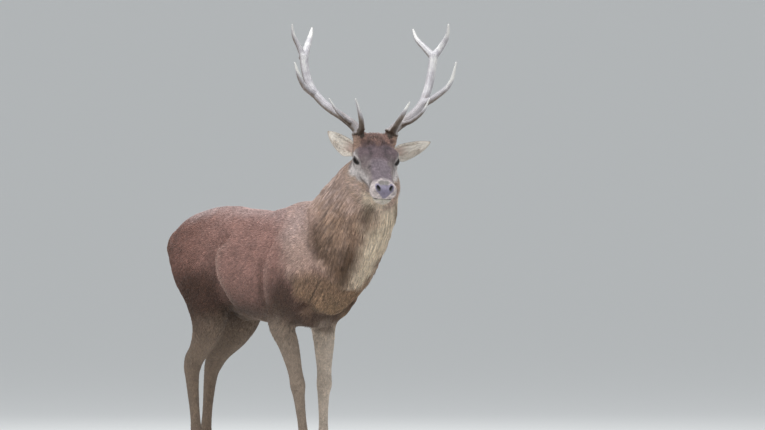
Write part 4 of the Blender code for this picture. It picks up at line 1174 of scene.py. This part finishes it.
def wired(tree, kind, output, inputs, **settings):
    """A new shader node with its settings and inputs, as the one output that is used."""
    node = tree.nodes.new(f"ShaderNode{kind}")
    for name, value in settings.items():
        setattr(node, name, value)
    feed(tree, node, inputs)
    return node.outputs[output]


def noise(tree, vector, scale, detail=3.0, roughness=0.55):
    """Fractal noise at a place, around 0.5."""
    return wired(tree, "TexNoise", "Fac",
                 {"Vector": vector, "Scale": scale, "Detail": detail, "Roughness": roughness})


def ranged(tree, value, low, high, to_low, to_high):
    """A value carried from one range to another, and held at its ends."""
    return wired(tree, "MapRange", "Result",
                 {"Value": value, "From Min": low, "From Max": high, "To Min": to_low, "To Max": to_high})


def worked(tree, operation, first, second):
    """The sum or product of two values."""
    return wired(tree, "Math", "Value", {0: first, 1: second}, operation=operation)


def tinted(tree, colour, factor):
    """A colour times a grey factor."""
    return wired(tree, "Mix", "Result", {"Factor": 1.0, "A": colour, "B": factor},
                 data_type="RGBA", blend_type="MULTIPLY")


def ramped(tree, value, stops):
    """A value turned into colours, each at its place along the ramp."""
    colours = wired(tree, "ValToRGB", "Color", {"Fac": value})
    ramp = colours.node.color_ramp
    ramp.elements.remove(ramp.elements[0])
    ramp.elements[0].position, ramp.elements[0].color = stops[0][0], (*stops[0][1], 1.0)
    for where, colour in stops[1:]:
        ramp.elements.new(where).color = (*colour, 1.0)
    return colours


def new_material(name, **inputs):
    """A material with its tree and its shader, whose first inputs are plain values."""
    mat = bpy.data.materials.new(name)
    mat.use_nodes = True
    shader = mat.node_tree.nodes["Principled BSDF"]
    feed(mat.node_tree, shader, {words.replace("_", " "): value for words, value in inputs.items()})
    return mat, mat.node_tree, shader


def attribute(tree, name, kind="Color"):
    """What give_attribute put on the points under that name."""
    return wired(tree, "Attribute", kind, {}, attribute_name=name)


def object_place(tree):
    """The Object coordinates."""
    return wired(tree, "TexCoord", "Object", {})


def bumped(tree, height, distance, strength=1.0):
    """Small relief from a height value."""
    return wired(tree, "Bump", "Normal", {"Height": height, "Distance": distance, "Strength": strength})


def hair_variation():
    """The shared group: small and broad changes of tone over a coat, and its fine grain."""
    tree = bpy.data.node_groups.new("hair_variation", "ShaderNodeTree")
    tree.interface.new_socket("Position", in_out="INPUT", socket_type="NodeSocketVector")
    for label in ("Factor", "Grain"):
        tree.interface.new_socket(label, in_out="OUTPUT", socket_type="NodeSocketFloat")
    place = tree.nodes.new("NodeGroupInput").outputs["Position"]
    fine, broad = noise(tree, place, 520.0), noise(tree, place, 85.0, 4.0, 0.65)
    factor = worked(tree, "MULTIPLY", ranged(tree, fine, 0.3, 0.7, 0.82, 1.18),
                    ranged(tree, broad, 0.3, 0.7, 0.82, 1.16))
    feed(tree, tree.nodes.new("NodeGroupOutput"), {"Factor": factor, "Grain": fine})
    return tree


def coat_material(name, variation, root_shade, tip_shade):
    """Hair: the root's colour, darker towards the root and lighter at the tip."""
    mat, tree, shader = new_material(name, Roughness=0.78, Sheen_Weight=0.05, Specular_IOR_Level=0.35)
    varied = wired(tree, "Group", "Factor", {"Position": object_place(tree)}, node_tree=variation)
    along = ranged(tree, attribute(tree, "along", "Fac"), 0.0, 1.0, root_shade, tip_shade)
    factor = worked(tree, "MULTIPLY", along, varied)
    feed(tree, shader, {"Base Color": tinted(tree, attribute(tree, "tone"), factor)})
    return mat


def skin_material(variation):
    """Skin and its shortest hair: the markings, with a fine hair grain, and a wet pebbled nose."""
    mat, tree, shader = new_material("deer_skin", Sheen_Weight=0.1)
    place = object_place(tree)
    varied = wired(tree, "Group", "Factor", {"Position": place}, node_tree=variation)
    bare = attribute(tree, "bare", "Fac")
    pebbles = wired(tree, "TexVoronoi", "Distance", {"Vector": place, "Scale": 640.0})
    relief = wired(tree, "Mix", "Result", {"Factor": bare, "A": varied.node.outputs["Grain"], "B": pebbles})
    shade = worked(tree, "MULTIPLY", varied, 0.80)
    feed(tree, shader, {
        "Base Color": tinted(tree, attribute(tree, "tone"), shade),
        "Roughness": ranged(tree, bare, 0.0, 1.0, 0.85, 0.46),
        "Normal": bumped(tree, relief, 0.0010),
    })
    return mat


def ear_material():
    """Bare and downy skin of the ears."""
    mat, tree, shader = new_material("ear_skin", Roughness=0.8, Sheen_Weight=0.1)
    feed(tree, shader, {"Base Color": attribute(tree, "tone"),
                        "Normal": bumped(tree, noise(tree, object_place(tree), 700.0), 0.0006)})
    return mat


def lid_material():
    """The moist, nearly black margins of the lids."""
    mat, tree, shader = new_material("lid_margin", Roughness=0.35)
    grain = noise(tree, object_place(tree), 900.0)
    nearly_black = ranged(tree, grain, 0.0, 1.0, 0.02, 0.05)
    feed(tree, shader, {"Base Color": tinted(tree, nearly_black, ranged(tree, grain, 0.3, 0.7, 0.7, 1.0))})
    return mat


def antler_material():
    """Bare bone: pale grey on the sides that face up as a painted highlight, brown on the under sides as
    painted shade and in the grooves, white at the tips.
    """
    mat, tree, shader = new_material("antler_bone", Roughness=0.50)
    streaks = noise(tree, attribute(tree, "grain", "Vector"), 1.0, 4.0, 0.60)
    blotch = noise(tree, object_place(tree), 26.0)
    pale = attribute(tree, "pale", "Fac")
    for source, strength in ((streaks, 0.34), (blotch, 0.26)):
        pale = worked(tree, "ADD", pale, ranged(tree, source, 0.0, 1.0, -strength, strength))
    stops = ((0.10, paint(64, 50, 40)), (0.35, paint(108, 94, 82)), (0.58, paint(150, 143, 142)),
             (0.80, paint(178, 174, 178)), (1.00, paint(228, 226, 220)))
    feed(tree, shader, {"Base Color": ramped(tree, pale, stops),
                        "Normal": bumped(tree, streaks, 0.0016, 0.8)})
    return mat


def eye_material():
    """A dark wet eye: brown iris, black level pupil, clear hard shine."""
    mat, tree, shader = new_material("deer_eye", Roughness=0.12, Coat_Weight=0.06, Coat_Roughness=0.03,
                                     Specular_IOR_Level=0.12)
    fibres = ranged(tree, noise(tree, attribute(tree, "spokes", "Vector"), 3.0, 4.0), 0.3, 0.7, 0.6, 1.4)
    feed(tree, shader, {"Base Color": tinted(tree, attribute(tree, "tone"), fibres)})
    return mat


def horn_material():
    """Dark hoof horn, mottled, with fine rings."""
    mat, tree, shader = new_material("hoof_horn", Roughness=0.45)
    place = object_place(tree)
    rings = wired(tree, "TexWave", "Fac", {"Vector": place, "Scale": 60.0, "Distortion": 2.0, "Detail": 2.0},
                  bands_direction="Z")
    stops = ((0.25, paint(40, 35, 32)), (0.80, paint(84, 74, 66)))
    feed(tree, shader, {"Base Color": ramped(tree, noise(tree, place, 90.0, 4.0), stops),
                        "Normal": bumped(tree, rings, 0.0008)})
    return mat


# Antlers

def tube(points, radii, around=28, knobs=None):
    """A round section carried along a path by parallel transport; knobs scales the radius by angle."""
    forward = unit(np.gradient(points, axis=0))
    normal = unit(np.cross(forward[0], (0.3, 0.2, 1.0)))
    frames = []
    for way in forward:
        normal = unit(normal - way * (normal @ way))
        frames.append(normal)
    normal = np.array(frames)
    other = np.cross(forward, normal)
    angle = circle(around)
    scale = knobs(np.linspace(0, 1, len(points))[:, None], angle) if knobs else np.ones((len(points), around))
    ring = normal[:, None] * np.cos(angle)[None, :, None] + other[:, None] * np.sin(angle)[None, :, None]
    grid = points[:, None] + ring * (radii[:, None] * scale)[..., None]
    return np.concatenate((grid.reshape(-1, 3), points[:1], points[-1:])), closed_tube(len(points), around)


def burr_knobs(share, angle):
    """The lumps of the burr, as a scale of its radius."""
    return 1.0 + 0.055 * np.sin(9 * angle + 1) + 0.05 * np.sin(14 * angle + share * 3)


def make_antler(name, side, material):
    """Beam, burr and five tines fused to one bone, then grooved along its length."""
    place = np.array(turned(HEAD_YAW, "Z"))[:3, :3]
    origin = from_head(mirrored(ANTLER_ORIGIN, side))
    lines = []
    for part, rows in ANTLERS[name].items():
        rows = flow(rows, 40 if part == "beam" else 26)
        middle = mirrored(rows[:, :3], side) @ place.T + origin
        radius = rows[:, 3] * ANTLER_FULLNESS.get((name, part), 1.0)
        share = np.linspace(0.0, 1.0, len(rows))
        if part == "beam":
            radius = radius * np.interp(share, (0.0, 0.18, 0.36, 0.70, 1.0), (0.92, 0.88, 0.76, 0.88, 1.02))
        else:
            middle, radius = middle[:-1], (radius * (1.0 + 0.25 * np.exp(-share / 0.10)))[:-1]
        lines.append((part, middle, radius))
    forms = [tube(middle, np.maximum(radius, 0.0026)) for _, middle, radius in lines]
    beam = lines[0][1]
    foot, way = beam[5], unit(beam[7] - beam[3])
    ring = foot + np.outer(np.linspace(-0.008, 0.008, 7), way)
    swell = 0.0255 + 0.0062 * np.sqrt(np.clip(1.0 - (np.linspace(-1.02, 1.02, 7)) ** 2, 0.0, 1.0))
    forms.append(tube(ring, swell, 60, burr_knobs))
    mesh = remeshed(f"antler_{name}", forms, ANTLER_VOXEL)
    relax(mesh, 5, np.full(len(mesh.vertices), 0.8))
    points = read_points(mesh)
    best = np.full(len(points), 1e9)
    along, tip, outward = np.zeros(len(points)), np.zeros(len(points)), np.zeros((len(points), 3))
    for number, (part, middle, radius) in enumerate(lines):
        gap, share = near_line(points, middle)
        gap = gap - np.interp(share, np.linspace(0, 1, len(radius)), radius)
        closer = gap < best
        best = np.minimum(best, gap)
        length = np.linalg.norm(np.diff(middle, axis=0), axis=1).sum()
        along = np.where(closer, share * length + number * 3.1, along)
        outward = np.where(closer[:, None], unit(points - at_share(middle, share)), outward)
        tip = np.where(closer, ease(0.45, 1.0, share) * (part != "beam"), tip)
    grain = outward * 7.0 + along[:, None] * 9.0
    normals = read_normals(mesh)
    low = ease(0.30, 0.02, np.linalg.norm(points - foot, axis=1))
    grooves = drift(grain / 7.0, 0.55, 21) + 0.6 * drift(grain / 7.0, 0.27, 22)
    pearls = np.clip(drift(points, 0.011, 23), 0.0, 1.0) * low
    points += normals * (ease(1.0, 0.2, tip) * (0.00045 * grooves + 0.0012 * pearls))[:, None]
    write_points(mesh, points + ORIGIN_SHIFT)
    give_attribute(mesh, "grain", grain)
    height = ease(0.0, 0.30, points[:, 2] - foot[2])
    # Painted light and shade: sides facing up are paler and under sides browner
    above = ease(-0.55, 0.35, normals @ unit(np.array((0.35, 0.0, 0.75))))
    under = ease(0.002, -0.010, (points - foot) @ way)
    pale = 0.30 + 0.42 * above + 0.12 * height + 0.35 * tip**1.5 - 0.14 * low
    give_attribute(mesh, "pale", (pale * (1.0 - under)).clip(0.0, 1.0))
    parts = ("beam_lower", "beam_upper", "brow", "bez", "trez", "crown_outer", "crown_inner")
    obj = shown(f"antler_{name}_bone", mesh, material)
    settle(obj, "antler", *[f"antler_{name}_{part}" for part in parts])


# Ears

def ear_surface(name, side, v, w, lift=0.0):
    """A place on the ear: v from root to tip, w from the upper edge at -1 to the lower at 1. The leaf
    is widest near a third of its length and pointed, and is cupped across, less so towards the tip."""
    turn = LEVEL_GRID[:3, :3]
    root, tip = [turn @ mirrored(end, side) + LEVEL_GRID[:3, 3] for end in EARS[name]]
    length = np.linalg.norm(tip - root)
    axis = (tip - root) / length
    facing = turn @ mirrored(EAR_FACING, side)
    facing = unit(facing - axis * (facing @ axis))
    across = np.cross(axis, facing) * side
    v = np.clip(v, 0.0, 1.0)
    leaf = (0.52 + 0.48 * ease(0.0, 0.34, v)) * np.clip(1.0 - v ** 2.8, 0.0, 1.0) ** 0.78
    half = np.where(w > 0, EAR_LOWER, EAR_UPPER) * leaf
    rise = EAR_CUP * (1.0 - 0.75 * v) * (np.abs(w) ** 1.8 - 0.55) - 0.012 * (1 - v) + lift
    place = root + (v * length * 0.985)[..., None] * axis + (w * half)[..., None] * across
    return place + rise[..., None] * facing, facing


def ear_wall(v, w, hollow):
    """How far each side of the wall stands from the ear's middle sheet, with soft ribs in the hollow."""
    wall = 0.0034 * np.sqrt(np.clip(1.0 - w ** 4, 0.0, 1.0)) * (1.0 - 0.55 * v) + 0.0004
    ribs = 0.0011 * np.cos(w * 9.0) * ease(0.95, 0.5, v) * ease(0.0, 0.25, v)
    return wall + ribs if hollow else -wall


def ear_tone(hollow, w, v, points):
    """Pale within, pinker in the depth, with soft rays, a brown upper rim and lower corner, brown behind."""
    rays = np.sin(w * 17.0 + 2.0 * drift(points, 0.05, 43)) * ease(0.05, 0.25, v)
    tone = layered(
        EAR_PALE,
        (EAR_PINK, ease(0.55, 0.20, v) * ease(0.75, 0.40, np.abs(w))),
        (EAR_SHADE, 0.42 * np.clip(rays, 0.0, 1.0) * ease(0.95, 0.70, v)),
        (EAR_SHADE, 0.8 * ease(0.14, 0.02, v)),
        (EAR_SHADE, 0.60 * ease(-0.86, -0.97, w) + 0.45 * ease(0.90, 0.98, w)),
        (EAR_SHADE, 0.45 * ease(0.55, 0.85, w) * ease(0.40, 0.70, v)),
        (EAR_BACK, 1.0 - hollow),
    )
    return tone * (1.0 + 0.10 * drift(points, 0.018, 41))[:, None]


# Hair of an ear: how many, on the hollow side or not, range of w, range of v, length, lift, width,
# and how much they lean in from the rim
EAR_HAIR = (
    (1300, 1, (-0.90, 0.90), (0.04, 0.62), 0.019, 9.0, 0.0010, 0.15),
    (520, 1, (0.66, 1.0), (0.02, 0.70), 0.020, 24.0, 0.0012, 0.9),
    (420, 1, (-1.0, -0.60), (0.02, 0.70), 0.018, 24.0, 0.0012, 0.9),
    (1700, 1, (-0.97, 0.97), (0.03, 0.97), 0.0080, 5.0, 0.0012, 0.15),
    (2200, 0, (-0.98, 0.98), (0.02, 0.97), 0.0085, 7.0, 0.0015, 0.15),
)


def make_ear(name, side, material):
    """A cupped leaf with a real wall, as a flattened tube: its hollow side, then its back. Gives its hair."""
    rows, columns = 46, 25
    line = np.linspace(-1.0, 1.0, columns)
    v, w = np.meshgrid(np.linspace(0.0, 1.0, rows), line, indexing="ij")
    front, facing = ear_surface(name, side, v, w, ear_wall(v, w, True))
    back = ear_surface(name, side, v, w, ear_wall(v, w, False))[0]
    points = np.concatenate((front, back[:, ::-1]), axis=1)
    points = np.concatenate((points.reshape(-1, 3), points[:1].mean(axis=1), points[-1:].mean(axis=1)))
    obj = put_mesh(f"ear_{name}_leaf", points, closed_tube(rows, 2 * columns), material)
    face_outward(obj)
    hollow = np.append(np.tile(np.repeat((1.0, 0.0), columns), rows), (0.0, 1.0))
    across = np.append(np.tile(np.append(line, line[::-1]), rows), (0.0, 0.0))
    height = np.append(np.repeat(v[:, 0], 2 * columns), (0.0, 1.0))
    give_attribute(obj.data, "tone", ear_tone(hollow, across, height, points))
    settle(obj, "ear_hair", f"ear_{name}")
    rng = np.random.default_rng(31 if side > 0 else 32)
    hair = []
    for number, (count, hollow, w_range, v_range, length, lift, width, lean) in enumerate(EAR_HAIR):
        v, w = rng.uniform(*v_range, count), rng.uniform(*w_range, count)
        rise = ear_wall(v, w, hollow) * (0.80 if hollow else 0.96)
        spot, step, over = [ear_surface(name, side, v + dv, w + dw, rise)[0]
                            for dv, dw in ((0.0, 0.0), (0.01, 0.0), (0.0, 0.02))]
        normal = unit(np.cross(unit(step - spot), unit(over - spot)))
        normal *= np.sign(normal @ facing)[:, None] * (1.0 if hollow else -1.0)
        lie = unit(unit(step - spot) + unit(over - spot) * (-np.sign(w) * lean)[:, None])
        tone = ear_tone(np.full(count, hollow), w, v, spot) * (1.12 if number < 3 else 1.0)
        blades = tufts(spot, normal, lie, length * rng.uniform(0.6, 1.2, count), width, rng, lift)
        hair.append((blades, tone, np.stack((v + side * 1.2, w + 2.2 * number), axis=1)))
    return hair


# Eyes

def make_eye(name, side, material):
    """A ball with a bulging clear front, its points turned so that the pole looks out of the head."""
    middle, *directions = eye_frame(side)
    rings, around = 40, 56
    lat = np.linspace(0.06, math.pi - 0.06, rings)[:, None]
    lon = circle(around)[None]
    radius = EYE_RADIUS * (1.0 + 0.045 * np.exp(-(lat / 0.55) ** 2)) + 0.0 * lon
    grid = np.stack((np.sin(lat) * np.cos(lon) * radius, np.sin(lat) * np.sin(lon) * radius,
                     np.cos(lat) * radius + 0.0 * lon), axis=-1).reshape(-1, 3)
    local = np.concatenate((grid, ((0.0, 0.0, EYE_RADIUS * 1.045), (0.0, 0.0, -EYE_RADIUS))))
    points = from_head(middle + local @ np.stack(directions))
    obj = put_mesh(f"eye_{name}_ball", points, closed_tube(rings, around), material)
    face_outward(obj)
    reach = np.linalg.norm(local[:, :2], axis=1)
    pupil = np.maximum(np.abs(local[:, 0]) / 0.0085, np.abs(local[:, 1]) / 0.0036)
    pupil = np.where(local[:, 2] > 0, np.maximum(pupil, reach / 0.0105), 9.0)
    tone = layered(paint(40, 26, 18), (paint(16, 12, 10), ease(0.0105, 0.0125, reach)),
                   (paint(6, 6, 8), ease(1.15, 0.9, pupil)))
    give_attribute(obj.data, "tone", tone)
    angle = np.arctan2(local[:, 1], local[:, 0])
    give_attribute(obj.data, "spokes", np.stack((np.cos(angle) * 6, np.sin(angle) * 6, reach * 60), axis=1))
    settle(obj, "eye", f"eye_{name}")


def make_lid_rims(material):
    """The bare dark margins of the lids: a thin round rim carried along the almond of each open eye."""
    forms = []
    steps, around = 72, 10
    for side in (1, -1):
        middle, slit, across, out = eye_frame(side)
        turn = circle(steps)
        a = FISSURE[0] * 1.03 * np.sign(np.cos(turn)) * np.abs(np.cos(turn)) ** 1.15
        b = FISSURE[1] * 1.02 * np.sin(turn)
        depth = np.sqrt(np.clip((EYE_RADIUS + 0.0012) ** 2 - a**2 - b**2, 1e-6, None))
        path = middle + np.outer(a, slit) + np.outer(b, across) + np.outer(depth, out)
        size = 0.0009 + 0.0004 * np.clip(np.sin(turn), 0.0, 1.0)
        ahead = unit(np.roll(path, -1, axis=0) - np.roll(path, 1, axis=0))
        lifted = unit(path - middle)
        flat = np.cross(ahead, lifted)
        angle = circle(around)[None, :, None]
        ring = lifted[:, None] * np.sin(angle) * 0.8 + flat[:, None] * np.cos(angle)
        grid = from_head((path[:, None] + ring * size[:, None, None]).reshape(-1, 3))
        forms.append((grid, ring_quads(steps, around, closed=True)))
    obj = put_mesh("lid_rims", *joined(forms), material)
    face_outward(obj)
    settle(obj, "face_hair")


# Feet

def put_claw(kind, foot, claw, points, faces, material):
    """One hoof or dewclaw in place of its solid: outer on the side of the foot away from the body."""
    name = f"{kind}_{foot}_{'outer' if claw * leg_rows(foot)[6][1] > 0 else 'inner'}"
    obj = put_mesh(f"{name}_horn", points, faces, material)
    face_outward(obj)
    settle(obj, "hoof_horn", name)


def make_hoof(foot, claw, material):
    """One claw: a pointed oval carried up from the sole, leaning back and narrowing to a sloping,
    rounded top, with faint growth rings."""
    x0, y0 = leg_rows(foot)[-1][:2]
    rows, around = 28, 64
    up = np.linspace(0.0, 1.0, rows)[:, None]
    angle = circle(around)[None]
    trim = 1.0 - 0.04 * np.clip(1.0 - up / 0.10, 0.0, 1.0) ** 2
    trim = trim - 0.22 * np.clip((up - 0.86) / 0.14, 0.0, 1.0) ** 2
    trim = trim * (0.985 + 0.006 * np.sin(up * 58.0 + 0.4 * np.cos(angle)) * (up < 0.9))
    x = (0.0425 - 0.010 * up) * np.cos(angle) * (1.0 + 0.10 * np.cos(angle)) * trim - 0.016 * up + 0.012
    y = (0.0183 - 0.002 * up) * np.sin(angle) * (1.0 - 0.22 * np.maximum(np.cos(angle), 0.0) ** 2) * trim
    z = up * (CORONET + CORONET_SLOPE * x)
    grid = np.stack((x0 + x, y0 + claw * HOOF_SPREAD + y, z + 0.0 * x), axis=-1)
    points = np.concatenate((grid.reshape(-1, 3), grid[:1].mean(axis=1), grid[-1:].mean(axis=1)))
    put_claw("hoof", foot, claw, points, closed_tube(rows, around), material)


def make_dewclaw(foot, claw, material):
    """A small blunt claw behind the pastern: an ellipsoid drawn thinner towards its lower end."""
    x, y, z = leg_rows(foot)[6][:3]
    points, faces = ball((0.0, 0.0, 0.0), (1.0, 1.0, 1.0), rings=20, around=32)
    points[:, :2] *= 1.0 - 0.30 * np.clip(-points[:, 2:], 0.0, 1.0)
    lean = np.array(turned(28.0, "Y"))[:3, :3]
    points = (points * (0.0120, 0.0102, 0.0194)) @ lean.T + (x - 0.026, y + claw * 0.0155, z - 0.042)
    put_claw("dewclaw", foot, claw, points, faces, material)


# Assembly

variation = hair_variation()
short_coat = coat_material("short_hair", variation, 0.68, 1.38)
mane_coat = coat_material("mane_hair", variation, 0.64, 1.26)
face_coat = coat_material("face_hair", variation, 0.86, 1.42)
ear_finish = ear_material()
bone = antler_material()
horn = horn_material()
wet_eye = eye_material()

skin_mesh = make_skin()
points, normals = read_points(skin_mesh), read_normals(skin_mesh)
local = to_head(points)
x, y, z = points.T
ahead = before_breast(points)
head = in_head(points)
pad = bare_nose(local)
write_points(skin_mesh, points + ORIGIN_SHIFT)
skin_obj = shown("deer_skin", skin_mesh, skin_material(variation))
give_attribute(skin_mesh, "tone", markings(points))
give_attribute(skin_mesh, "bare", pad * head)
settle(skin_obj, "coat", "trunk", "neck", "head", "tail",
       *[f"{foot}_{half}" for foot in STEPS for half in ("upper", "lower")])
skin_mesh.calc_loop_triangles()
triangles = np.empty(len(skin_mesh.loop_triangles) * 3, dtype=np.int32)
skin_mesh.loop_triangles.foreach_get("vertices", triangles)
skin = {"points": points, "normals": normals, "tri": triangles.reshape(-1, 3)}

for name, side in SIDES:
    make_antler(name, side, bone)
    make_eye(name, side, wet_eye)
make_lid_rims(lid_material())
ear_hair = [group for name, side in SIDES for group in make_ear(name, side, ear_finish)]
lay_coat("ear_coat", *[np.concatenate(part) for part in zip(*ear_hair)], face_coat, "ear_hair")

# Where each region's hair grows, from 0 to 1 at each point of the skin
over_leg = ease(0.72, 0.76, z)
bare = pad
for flank in (1, -1):
    bare = np.maximum.reduce((
        bare,
        near_eye(local, flank) * ease(0.0050, 0.0030, lid_shape(local, flank)[0]),
        ease(1.8, 1.4, nostril_gap(local, flank)),
        ease(0.0080, 0.0050, near_line(local, lip_line(flank))[0]),
    ))
crown = on_crown(local) * (head > 0.2)
face = ease(0.25, 0.5, head) * (1.0 - bare) * (1.0 - crown)
mane = ease(-0.012, 0.040, ahead) * (1.0 - ease(0.35, 0.65, head)) * over_leg
legs = ease(0.70, 0.64, z) * ease(CORONET - 0.004, CORONET + 0.006, z)
trunk = (1.0 - ease(0.006, 0.050, ahead) * over_leg) * (1.0 - head) * ease(0.63, 0.67, z)


# How long the hair is at each root, and on the crown how upright and how wild

def trunk_length(p):
    """Longer low on the body and ahead of the shoulder."""
    return 0.017 + 0.010 * ease(0.80, 0.70, p[:, 2]) + 0.006 * ease(0.30, 0.42, p[:, 0])


def mane_length(p):
    """Longest down the front of the neck, shorter near the head, at the mane's edge and low down."""
    x, y, z = p.T
    front = ease(0.14, 0.06, np.abs(y)) * ease(-0.125, -0.040, x - neck_front(z))
    size = 0.056 + 0.034 * front * ease(0.88, 0.96, z) + 0.010 * ease(1.10, 0.95, z)
    size = size * (0.72 + 0.28 * ease(0.24, 0.36, away(to_head(p), (0.20, 0.0, -0.06))))
    return size * (0.45 + 0.55 * ease(0.0, 0.10, before_breast(p))) * (0.42 + 0.58 * ease(0.78, 0.94, z))


def leg_length(p):
    """Short, with a longer fringe behind the fetlock."""
    fetlock = ease(0.20, 0.12, p[:, 2]) * ease(0.05, 0.09, p[:, 2])
    return 0.0105 + 0.006 * ease(0.50, 0.66, p[:, 2]) + 0.006 * fetlock


def crown_length(p):
    """A forelock between the antlers, shorter to the sides and down the brow."""
    t, across = to_head(p).T[:2]
    return (0.013 + 0.031 * ease(0.075, 0.020, np.abs(across))) * (1.0 - 0.5 * ease(0.080, 0.125, t))


def crown_lift(p):
    """Nearly flat at the sides, standing up in the middle."""
    return 14.0 + 34.0 * ease(0.075, 0.030, np.abs(to_head(p)[:, 1]))


def crown_wander(p):
    """Combed at the sides, tousled in the middle."""
    return 10.0 + 24.0 * ease(0.075, 0.040, np.abs(to_head(p)[:, 1]))


def face_length(p):
    """Very short, but longer behind the antlers and under the jaw, and shortest on the muzzle."""
    t, across, up = to_head(p).T
    pedicle = ease(0.060, 0.080, np.abs(across)) * ease(-0.035, 0.0, up)
    size = 0.0068 + 0.018 * ease(0.11, 0.06, t) * ease(-0.04, 0.0, up) * (1.0 - 0.6 * pedicle)
    size += 0.020 * ease(-0.10, -0.15, up) * ease(0.33, 0.25, t)
    return size * (1.0 - 0.35 * ease(0.25, 0.36, t))


clear = ((skin_cells(skin, 0.030), -0.002), (skin_cells(skin, 0.012), 0.0008))
grow("coat_trunk", skin, trunk, 0.0060, trunk_length, 0.0038, short_coat, "body", "coat", 51, 0.14, 0.10,
     lift=8.0, wander=11.0, clump=0.35, clump_size=0.013, cells=clear)
grow("coat_mane", skin, mane, 0.0050, mane_length, 0.0032, mane_coat, "body", "mane", 52, 0.11, 0.08,
     lift=10.0, droop=0.20, wander=5.0, clump=0.50, clump_size=0.011, rings=4, curl=0.25, cells=clear)
grow("coat_legs", skin, legs, 0.0048, leg_length, 0.0021, short_coat, "legs", "leg_hair", 53, 0.13, 0.06,
     lift=9.0, clump=0.3, clump_size=0.012)
grow("coat_face", skin, face, 0.0033, face_length, 0.0017, face_coat, "head", "face_hair", 54, 0.13, 0.10,
     lift=9.0, wander=8.0, clump=0.22, clump_size=0.009, curl=0.3, cells=clear)
grow("coat_crown", skin, crown, 0.0030, crown_length, 0.0016, face_coat, "head", "face_hair", 55, 0.22, 0.24,
     lift=crown_lift, droop=0.20, wander=crown_wander, clump=0.5, clump_size=0.013, rings=3, curl=1.1)

for foot in STEPS:
    for claw in (1, -1):
        make_hoof(foot, claw, horn)
        make_dewclaw(foot, claw, horn)

# Stage, lights and camera

AZIMUTH, ELEVATION, DISTANCE = math.radians(50.0), math.radians(1.5), 75.0
LENS = 794.1
VIEW_MIDDLE = (0.5267, 1.1733, 0.08)           # to the right, up and towards the camera
towards = np.array((math.sin(AZIMUTH) * math.cos(ELEVATION), -math.cos(AZIMUTH) * math.cos(ELEVATION),
                    math.sin(ELEVATION)))      # from the stag to the camera
right = np.array((math.cos(AZIMUTH), math.sin(AZIMUTH), 0.0))
up = np.cross(towards, right)
aim = right * VIEW_MIDDLE[0] + up * VIEW_MIDDLE[1] + towards * VIEW_MIDDLE[2] + ORIGIN_SHIFT
camera = bpy.data.objects.new("camera", bpy.data.cameras.new("camera"))
camera.data.lens = LENS
camera.data.sensor_width = 36.0
camera.data.clip_end = 3000.0
camera.location = aim + towards * DISTANCE
camera.rotation_euler = Vector(towards).to_track_quat("Z", "Y").to_euler()
bpy.context.scene.collection.objects.link(camera)
bpy.context.scene.camera = camera

floor_mesh = bpy.data.meshes.new("floor")
floor_mesh.from_pydata([(-900, -900, 0), (900, -900, 0), (900, 900, 0), (-900, 900, 0)], [], [(0, 1, 2, 3)])
floor_mesh.materials.append(new_material("pale_floor", Roughness=0.9, Base_Color=(0.80, 0.80, 0.79, 1.0))[0])
floor = bpy.data.objects.new("floor", floor_mesh)
bpy.context.scene.collection.objects.link(floor)

LIGHT_AIM = (0.0, 0.0, 1.1)
# Name, place, size, power and colour
LIGHTS = (
    ("sky_light", (0.3, -0.6, 6.0), 5.0, 300.0, (0.95, 0.97, 1.0)),
    ("key_light", (1.5, -5.5, 3.8), 3.0, 62.0, (1.0, 0.98, 0.95)),
    ("fill_light", (6.0, 1.0, 2.4), 3.5, 18.0, (1.0, 1.0, 1.0)),
    ("back_light", (-4.5, 3.5, 4.0), 3.0, 44.0, (1.0, 1.0, 1.0)),
)
for name, where, size, power, colour in LIGHTS:
    light = bpy.data.lights.new(name, "AREA")
    light.size, light.energy, light.color = size, power, colour
    obj = bpy.data.objects.new(name, light)
    obj.location = where
    obj.rotation_euler = (Vector(where) - Vector(LIGHT_AIM)).to_track_quat("Z", "Y").to_euler()
    bpy.context.scene.collection.objects.link(obj)
world = bpy.data.worlds.new("studio")
world.use_nodes = True
feed(world.node_tree, world.node_tree.nodes["Background"],
     {"Color": (0.90, 0.94, 0.97, 1.0), "Strength": 0.60})
bpy.context.scene.world = world
bpy.context.scene.view_settings.view_transform = "Standard"
